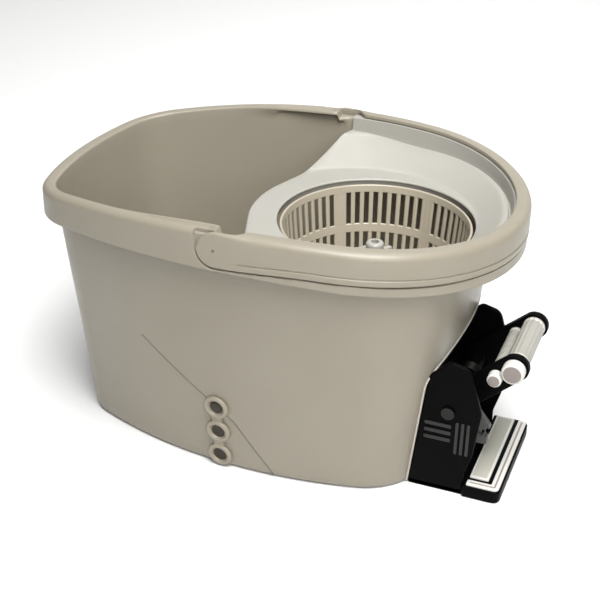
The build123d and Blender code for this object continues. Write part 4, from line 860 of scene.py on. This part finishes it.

# The ribs are the housing's black plastic, painted a lighter grey as a highlight along their edges.
RIB_HIGHLIGHT = moulded("painted_highlight_black", (0.02, 0.02, 0.019), (0.015,) * 3, 0.4, 0.2, 700.0, 0.3)
ribs = [oblong((85.5, z), (112, z + 3.6), RIB_CORNER) for z in (58, 66, 74)]
ribs += [oblong((x, 46), (x + 3.2, 82), RIB_CORNER) for x in (116, 121.5, 127)]
ribs = [slab(rib, "y", FRONT_Y - RIB_RISE, FRONT_Y + 1, RIB_EDGE) for rib in ribs]
make_piece("housing_ribs", capped(*ribs), RIB_HIGHLIGHT, "root", "black_plastic")


# Pedal fork
# Two black arms on one tube that turns on the axle: each arm runs from the axle past the inner bar to a
# round eye on the outer bar.

FORK_Y = [(-66.0, -58.0), (20.0, 28.0)]
FORK_EDGE = 1.3
BETWEEN_CHEEKS = (-83.5, 31.5)
TUBE_R = 9.0
AXLE_HOLE_R = 5.05
ARM_ROUNDS = (14.0, 9.5, 13.45)
OUTER = bar_place("outer_grip")
INNER = bar_place("inner_grip")
eyes = np.column_stack([(PEDAL, INNER, OUTER), ARM_ROUNDS])
aim = np.stack([np.cos(circle(96)), np.sin(circle(96))])
furthest = eyes[(eyes[:, :2] @ aim + eyes[:, 2:]).argmax(0)]
arm = furthest[:, :2] + furthest[:, 2:] * aim.T
bearing = np.transpose([(AXLE_HOLE_R, TUBE_R, TUBE_R, AXLE_HOLE_R), np.repeat(BETWEEN_CHEEKS, 2)])
fork = capped(*[slab(arm, "y", low, high, FORK_EDGE) for low, high in FORK_Y])
fork += looped(along_y(PEDAL, bearing, 32))
make_piece("fork_moulding", fork, BLACK, "pedal", "black_plastic", "pedal_fork")


# Foot bars
# Two pale rubber sleeves on steel rods between the fork's arms, the outer one ribbed along its length
# and the inner one with slanting ribs, and a pale cap on the front end of each rod.

PALE = moulded("pale_rubber", (0.36, 0.35, 0.315), (0.30, 0.29, 0.255), 0.5, 0.3, 1500.0)
ROSE = moulded("rose_grey_rubber", (0.25, 0.215, 0.20), (0.215, 0.185, 0.17), 0.5, 0.25, 1500.0)
IVORY = moulded("ivory_rubber", (0.62, 0.605, 0.565), (0.57, 0.555, 0.51), 0.45, 0.2, 1500.0)
OUTER_R = 11.0
INNER_R = 7.0
SLEEVE = 3.5
RIB_DEPTH = 0.7
BAR_GAP = 0.3
GRIP_Y = (FORK_Y[0][1] + BAR_GAP, FORK_Y[1][0] - BAR_GAP)
GRIP_BAND = 5.0
CAP = 11.0
CAP_Y = FORK_Y[0][0] - BAR_GAP
CAP_FRONT = CAP_Y - CAP
CAP_ROUND = 2.0
PANEL_SHARE = 0.78


def sleeve(place, radius, ribs, slant):
    """Grip on a bar: a tube with shallow ribs, straight or slanting, that fade at its ends."""
    y = np.linspace(*GRIP_Y, 60)
    fade = swell(y, y[0] + 2, y[0] + 5, y[-1] - 5, y[-1] - 2)
    wave = -RIB_DEPTH * fade[:, None] * (1 + np.cos(ribs * circle(96) + slant * y[:, None])) / 2
    outside = along_y(place, np.column_stack([np.full_like(y, radius), y]), 96, wave)
    ends = along_y(place, [(radius - SLEEVE, y[-1]), (radius - SLEEVE, y[0])], 96)
    return np.vstack([outside, ends])


def end_cap(place, radius):
    """Cap on the front end of a bar: a short drum with a rounded front edge."""
    turn = np.linspace(0, pi / 2, 6)
    profile = [(POLE_R, CAP_FRONT + 0.4), (radius * 0.5, CAP_FRONT + 0.4), (radius - 2.2, CAP_FRONT + 0.5)]
    profile += [(radius - CAP_ROUND * (1 - s), CAP_FRONT + 0.6 + CAP_ROUND * (1 - c))
                for s, c in zip(np.sin(turn), np.cos(turn))]
    profile += [(radius, CAP_Y - 0.6), (radius - 0.6, CAP_Y)]
    return along_y(place, profile, 48)


def cap_face(place, radius):
    """Round panel let into the cap's front, a little domed."""
    edge = radius * PANEL_SHARE
    profile = [(POLE_R, 0), (radius * 0.45, 0.1), (edge, 0.4), (edge, 1.5), (POLE_R, 1.5)]
    return along_y(place, np.array(profile) + [0, CAP_FRONT], 48)


def grip_ends(place, radius):
    """Plain bands at both ends of a grip."""
    for low in (GRIP_Y[0], GRIP_Y[1] - GRIP_BAND):
        high = low + GRIP_BAND
        profile = [(radius - 0.6, low), (radius, low + 0.6), (radius, high - 0.6), (radius - 0.6, high)]
        yield along_y(place, profile, 48)


bands = looped(*grip_ends(OUTER, OUTER_R), *grip_ends(INNER, INNER_R))
faces = capped(cap_face(OUTER, OUTER_R), cap_face(INNER, INNER_R))
outer_sleeve, inner_sleeve = sleeve(OUTER, OUTER_R, 14, 0.0), sleeve(INNER, INNER_R, 5, 0.55)
make_piece("grip_bands", bands, IVORY, "pedal", "grip_rubber")
make_piece("cap_faces", faces, ROSE, "pedal", "grip_rubber")
make_piece("outer_grip_sleeve", looped(outer_sleeve), PALE, "pedal", "grip_rubber", "outer_grip")
make_piece("inner_grip_sleeve", looped(inner_sleeve), PALE, "pedal", "grip_rubber", "inner_grip")
make_piece("outer_cap_drum", capped(end_cap(OUTER, OUTER_R)), IVORY, "pedal", "grip_rubber", "outer_bar_cap")
make_piece("inner_cap_drum", capped(end_cap(INNER, INNER_R)), IVORY, "pedal", "grip_rubber", "inner_bar_cap")


# Return spring
# Torsion spring of round steel wire on the fork's tube: one leg rests on the housing's back, the other
# lies under the inner bar.

STEEL, steel_tree, steel_shader = new_material("black_oxide_steel")
steel_shader["Base Color"].default_value = (0.03, 0.03, 0.029, 1)
steel_shader["Metallic"].default_value = 1.0
steel_place = steel_tree.nodes.new("ShaderNodeTexCoord")
steel_range = steel_tree.nodes.new("ShaderNodeMapRange")
steel_range.inputs["To Min"].default_value = 0.28
steel_range.inputs["To Max"].default_value = 0.42
steel_tree.links.new(noise(steel_tree, steel_place, 300.0, 2.0), steel_range.inputs["Value"])
steel_tree.links.new(steel_range.outputs["Result"], steel_shader["Roughness"])

COIL_R = 11.0
COILS = 5
WIRE_R = 1.0
COIL_PITCH = 2.6
COIL_Y = -8.0
LEG_UNDER_BAR = 8.3
bar_away = hypot(INNER[0] - PEDAL_X, INNER[1] - PEDAL_Z)
lift = atan2(INNER[1] - PEDAL_Z, INNER[0] - PEDAL_X) + asin((COIL_R - LEG_UNDER_BAR) / bar_away)
seat_x = NICHE_FOOT_X + NICHE_LEAN * (PEDAL_Z - COIL_R)
back_leg = PEDAL_X - seat_x - SEAT_GAP - BACK - WIRE_R - 0.3
t = np.linspace(0, 2 * pi * COILS + lift, 150)
leg = np.concatenate([np.linspace(-back_leg, -back_leg / 6, 6), np.zeros_like(t),
                      np.linspace(bar_away / 10, bar_away, 10)])
t = np.concatenate([np.full(6, t[0]), t, np.full(10, t[-1])])
pitch = COIL_PITCH / (2 * pi)
tangent = unit(xyz(COIL_R * np.cos(t), -pitch, COIL_R * np.sin(t)))
radial = xyz(np.sin(t), 0, -np.cos(t))
wire = np.array([PEDAL_X, COIL_Y, PEDAL_Z]) + COIL_R * radial + leg[:, None] * tangent
wire[:, 1] -= pitch * t
coil = tube(wire, WIRE_R * radial, WIRE_R * np.cross(tangent, radial), 10)
spring = make_piece("spring_wire", capped(coil), STEEL, None, "steel", "return_spring")
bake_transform(spring)


# Step plate
# Black foot plate beside the housing that keeps the bucket down, with two rubber pads let into its top:
# a grey-green textured one, and a rose-grey one round the outer edge and the front end, in pale frames.

STEP_LOW = (128.0, -92.0)
STEP_HIGH = (165.0, 42.0)
STEP_TOP = 12.0
TONGUE_X = (107.5, 131.0)
TONGUE_TOP = 8.0
PAD_FOOT = 10.0
PAD_TOP = 13.8
PANEL_FOOT = 12.0
ELL = np.array([(131, -89), (163, -89), (163, 39), (154.5, 39), (154.5, -80.5), (131, -80.5)])
ELL_IN = np.array([(1, 1), (-1, 1), (-1, -1), (1, -1), (1, -1), (1, -1)])
PANEL_INSET = 3.3
SAGE = moulded("sage_rubber", (0.42, 0.41, 0.35), (0.27, 0.265, 0.222), 0.6, 1.0, 420.0)
plate = slab(oblong(STEP_LOW, STEP_HIGH, [1.5, 9, 9, 1.5], 10), "z", 0, STEP_TOP, 1.0)
tongue = slab(oblong(*zip(TONGUE_X, BETWEEN_CHEEKS)), "z", BASE, TONGUE_TOP, 0.3)
frame_pad = slab(oblong((131.5, -75.5), (150.5, 39), 1.5), "z", PAD_FOOT, PAD_TOP, 0.9)
sage_panel = slab(oblong((133.4, -73), (148.2, 37), 1.0), "z", PANEL_FOOT, PAD_TOP + 0.2, 0.4)
ell = rounded(ELL, [1.5, 6, 1.5, 1.5, 1.5, 1.5], 8)
outer_pad = slab(ell, "z", PAD_FOOT, PAD_TOP, 0.8)
inner_ell = rounded(ELL + PANEL_INSET * ELL_IN, [0.4, 3.0, 0.5, 0.4, 0.8, 0.4], 8)
rose_panel = slab(inner_ell, "z", PANEL_FOOT, PAD_TOP + 0.1, 0.2)
make_piece("step_moulding", capped(plate, tongue), BLACK, "root", "black_plastic", "step_plate")
make_piece("inner_pad_frame", capped(frame_pad), IVORY, "root", "grip_rubber", "inner_step_pad")
make_piece("inner_pad_panel", capped(sage_panel), SAGE, "root", "grip_rubber")
make_piece("outer_pad_strip", capped(outer_pad), IVORY, "root", "grip_rubber", "outer_step_pad")
make_piece("outer_pad_panel", capped(rose_panel), ROSE, "root", "grip_rubber")


# Drain
# Rubber stopper low on the front wall: three rings on one strap, the top one held by a push rivet, the
# middle one the plug in the drain hole, the lowest a pull ring.

DRAIN_X = -110.0
DRAIN_Z = 44.0
RING_PITCH = 30.0
RING_MIDDLE_R = 10.6
WEB_FROM = 9.0
WEB_GAP = 0.15
RUBBER = moulded("beige_rubber", (0.30, 0.268, 0.21), (0.26, 0.228, 0.172), 0.42, 0.2, 1200.0)
# dark umber: partly the rivet's own colour and partly painted shade of the top ring's recess; on the discs
# below, painted shade in the drain hole and the rings' recesses
UMBER_AND_SHADE = moulded("umber_rubber_and_painted_shade", (0.045, 0.034, 0.022), (0.03, 0.022, 0.015), 0.45, 0.2, 1200.0, 0.3)
drain_reach = SIDE_R - wall_inset(DRAIN_Z)
lean = (DRAIN_X - WIDEST_X) / drain_reach
level = sqrt(1 - lean**2)
drain_at = np.array([DRAIN_X, -(side_c[1] + drain_reach * level), DRAIN_Z])
drain_along = np.array([level, lean, 0])
drain_out = np.array([lean, -level, -DRAFT]) / sqrt(1 + DRAFT**2)
drain_axes = np.array([drain_along, np.cross(drain_out, drain_along), drain_out])


def on_wall(grid):
    """Points given along the wall, up it and out of it, moved to the drain's place on the front wall."""
    return drain_at + grid @ drain_axes


def disc(up, profile):
    """Turned shape on the front wall, some way up from the drain, from a profile of radius and height."""
    return on_wall(turned_about_axis(profile, 48) + [0, up, 0])


def strap_web(low, high):
    """Flat web of the strap between two rings, with eased edges."""
    x = np.array([-5.5, -5.5, -4.9, 4.9, 5.5, 5.5])
    h = np.array([0.3, 2.2, 2.8, 2.8, 2.2, 0.3])
    return on_wall(xyz(x, np.linspace(low, high, 3)[:, None], h))


turn = np.linspace(0, pi, 9)
lip = [(RING_MIDDLE_R + 2.4 * c, 2.2 + 1.8 * s) for c, s in zip(np.cos(turn), np.sin(turn))]
ring_profile = [(12.6, 0.3), (13.0, 0.8), *lip, (7.9, 1.6), (7.2, 1.4), (7.0, 0.3)]
rivet = [(POLE_R, -4), (3, -4), (3, 0.8), (6.3, 1.0), (6.5, 1.6), (6.0, 2.2), (3.5, 2.8), (POLE_R, 3.0)]
# dark disc at the bottom of the drain hole round the plug: painted shade
hole_shade = [(POLE_R, 0.12), (7.5, 0.12), (7.5, -2.5), (POLE_R, -2.5)]
plug = [(POLE_R, -4.7), (5.8, -4.7), (6.9, 0.3), (6.9, 0.5), (POLE_R, 0.5)]
# dark webs in the plug ring and the pull ring: painted shade of their recesses
ring_shade = [(POLE_R, 0.4), (7.4, 0.4), (7.4, 1.5), (4.0, 0.9), (POLE_R, 0.8)]
hinge = RING_PITCH / 2
strap = looped(disc(RING_PITCH, ring_profile)) + capped(strap_web(hinge + WEB_GAP, RING_PITCH - WEB_FROM))
stopper = looped(disc(0, ring_profile), disc(-RING_PITCH, ring_profile)) + capped(disc(0, plug))
stopper += capped(strap_web(WEB_FROM, hinge - WEB_GAP), strap_web(WEB_FROM - RING_PITCH, -WEB_FROM))
ring_shades = capped(disc(0, ring_shade), disc(-RING_PITCH, ring_shade))
make_piece("strap_ring", strap, RUBBER, "root", "stopper_rubber", "drain_strap")
make_piece("strap_rivet", capped(disc(RING_PITCH, rivet)), UMBER_AND_SHADE, "root", "stopper_rubber", "drain_rivet")
make_piece("drain_hole_shade", capped(disc(0, hole_shade)), UMBER_AND_SHADE, "root", "stopper_rubber")
make_piece("stopper_rings", stopper, RUBBER, "stopper", "stopper_rubber", "drain_stopper")
make_piece("stopper_ring_shades", ring_shades, UMBER_AND_SHADE, "stopper", "stopper_rubber")


# Crease
# A faint bead in a darker taupe that runs slantwise down the tub's front wall past the drain.

CREASE_X = (-192.0, -121.0, -93.0, -53.0)
CREASE_Z = (134.0, 82.0, 60.0, 3.0)
CREASE_RISE = 0.45
CREASE_HALF = 0.8
run = np.linspace(0, 3, 90)
bead_x, bead_z = np.interp(run, range(4), CREASE_X), np.interp(run, range(4), CREASE_Z)
bead_y = -(side_c[1] + np.sqrt((SIDE_R - wall_inset(bead_z))**2 - (bead_x - WIDEST_X)**2))
line = xyz(bead_x, bead_y, bead_z)
outward = xyz((bead_x - WIDEST_X) / SIDE_R, -1, 0)
sideways = np.cross(unit(np.gradient(line, axis=0)), outward)
bead = tube(line, CREASE_RISE * outward, CREASE_HALF * sideways, 8)
make_piece("wall_crease", capped(bead), TAUPE, "root", "tub_plastic")


# Steel and gear parts inside
# Axle, nut, rods, screws, washer, pin and shaft of blackened steel; the shaft's and the idler's gears, the
# clutch, the bushes and the bail's pins of white nylon; gear cover, rack, guide and sector gear of grey
# plastic. They keep the CAD's own surfaces.

NYLON = moulded("white_nylon", (0.70, 0.69, 0.65), (0.66, 0.65, 0.61), 0.4, 0.1, 900.0)
GREY = moulded("grey_polypropylene", (0.09, 0.09, 0.088), (0.075, 0.075, 0.073), 0.5, 0.15, 900.0)
inside = [(STEEL, ["drive_shaft", "idler_pin", "pedal_axle", "axle_nut", "cover_screws", "housing_screws",
                   "step_screws", "outer_foot_bar", "inner_foot_bar", "thrust_washer"]),
          (NYLON, ["shaft_gear", "clutch_pawls", "ratchet_wheel", "idler_gear", "footstep_bush", "upper_bush",
                   "bail_pins"]),
          (GREY, ["gear_cover", "rack_guide", "drive_rack", "sector_gear"])]
for finish, nodes in inside:
    for node in nodes:
        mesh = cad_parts[node].data
        mesh.materials.clear()
        mesh.materials.append(finish)


# Floor, light and camera
# A pale floor that curves up behind the bucket, soft studio light from the upper right and on the
# backdrop, and a camera where the photograph was taken from, turned to the bucket.

FLOOR_SIZE = 6.0
FLOOR_DROP = 0.0005
BEND_R = 1.2
BACK_Y = 2.0
turn = np.linspace(0, pi / 2, 16)
sweep_y = np.concatenate([[-FLOOR_SIZE], BACK_Y + BEND_R * np.sin(turn), [BACK_Y + BEND_R]])
sweep_z = np.concatenate([[0], BEND_R * (1 - np.cos(turn)), [FLOOR_SIZE]])
backdrop = xyz([-FLOOR_SIZE, FLOOR_SIZE], sweep_y[:, None], sweep_z[:, None] - FLOOR_DROP)
floor_mesh = bpy.data.meshes.new("floor")
floor_mesh.from_pydata(backdrop.reshape(-1, 3), [], quads(len(sweep_y), 2, False, False).tolist())
floor_mesh.polygons.foreach_set("use_smooth", np.ones(len(floor_mesh.polygons), bool))
PAPER, _, paper_shader = new_material("pale_paper")
paper_shader["Base Color"].default_value = (0.80, 0.80, 0.795, 1)
paper_shader["Roughness"].default_value = 0.9
floor_mesh.materials.append(PAPER)
floor = put("floor", floor_mesh)

world = bpy.data.worlds.new("studio")
world.use_nodes = True
background = world.node_tree.nodes["Background"]
background.inputs["Color"].default_value = (1, 1, 1, 1)
background.inputs["Strength"].default_value = 0.06
bpy.context.scene.world = world


def softbox(name, place, aim, size, watts):
    """Square area light at a place, turned to a point."""
    light = bpy.data.lights.new(name, "AREA")
    light.size = size
    light.energy = watts
    lamp = put(name, light)
    lamp.location = place
    lamp.rotation_euler = (Vector(aim) - Vector(place)).to_track_quat("-Z", "Y").to_euler()


CENTRE = (0.0, 0.0, 0.14)
softbox("key", (1.3, -1.8, 1.5), CENTRE, 1.4, 28)
softbox("overhead", (0.5, -0.75, 2.15), CENTRE, 1.3, 80)
softbox("backdrop", (0.0, 1.0, 2.4), (0.0, 2.8, 0.6), 1.4, 40)
bpy.context.scene.view_settings.view_transform = "Standard"

CAMERA_PLACE = Vector((0.4085, -1.0751, 0.7651))
CAMERA_AIM = Vector((0.0, 0.0, 0.128))
CAMERA_ROLL = 0.016
camera_data = bpy.data.cameras.new("camera")
camera_data.lens = 76.0
camera_data.sensor_width = 36.0
camera = put("camera", camera_data)
camera.location = CAMERA_PLACE
look = (CAMERA_AIM - CAMERA_PLACE).to_track_quat("-Z", "Y").to_matrix() @ Matrix.Rotation(CAMERA_ROLL, 3, "Z")
camera.rotation_euler = look.to_euler()
bpy.context.scene.camera = camera

bpy.context.view_layer.update()
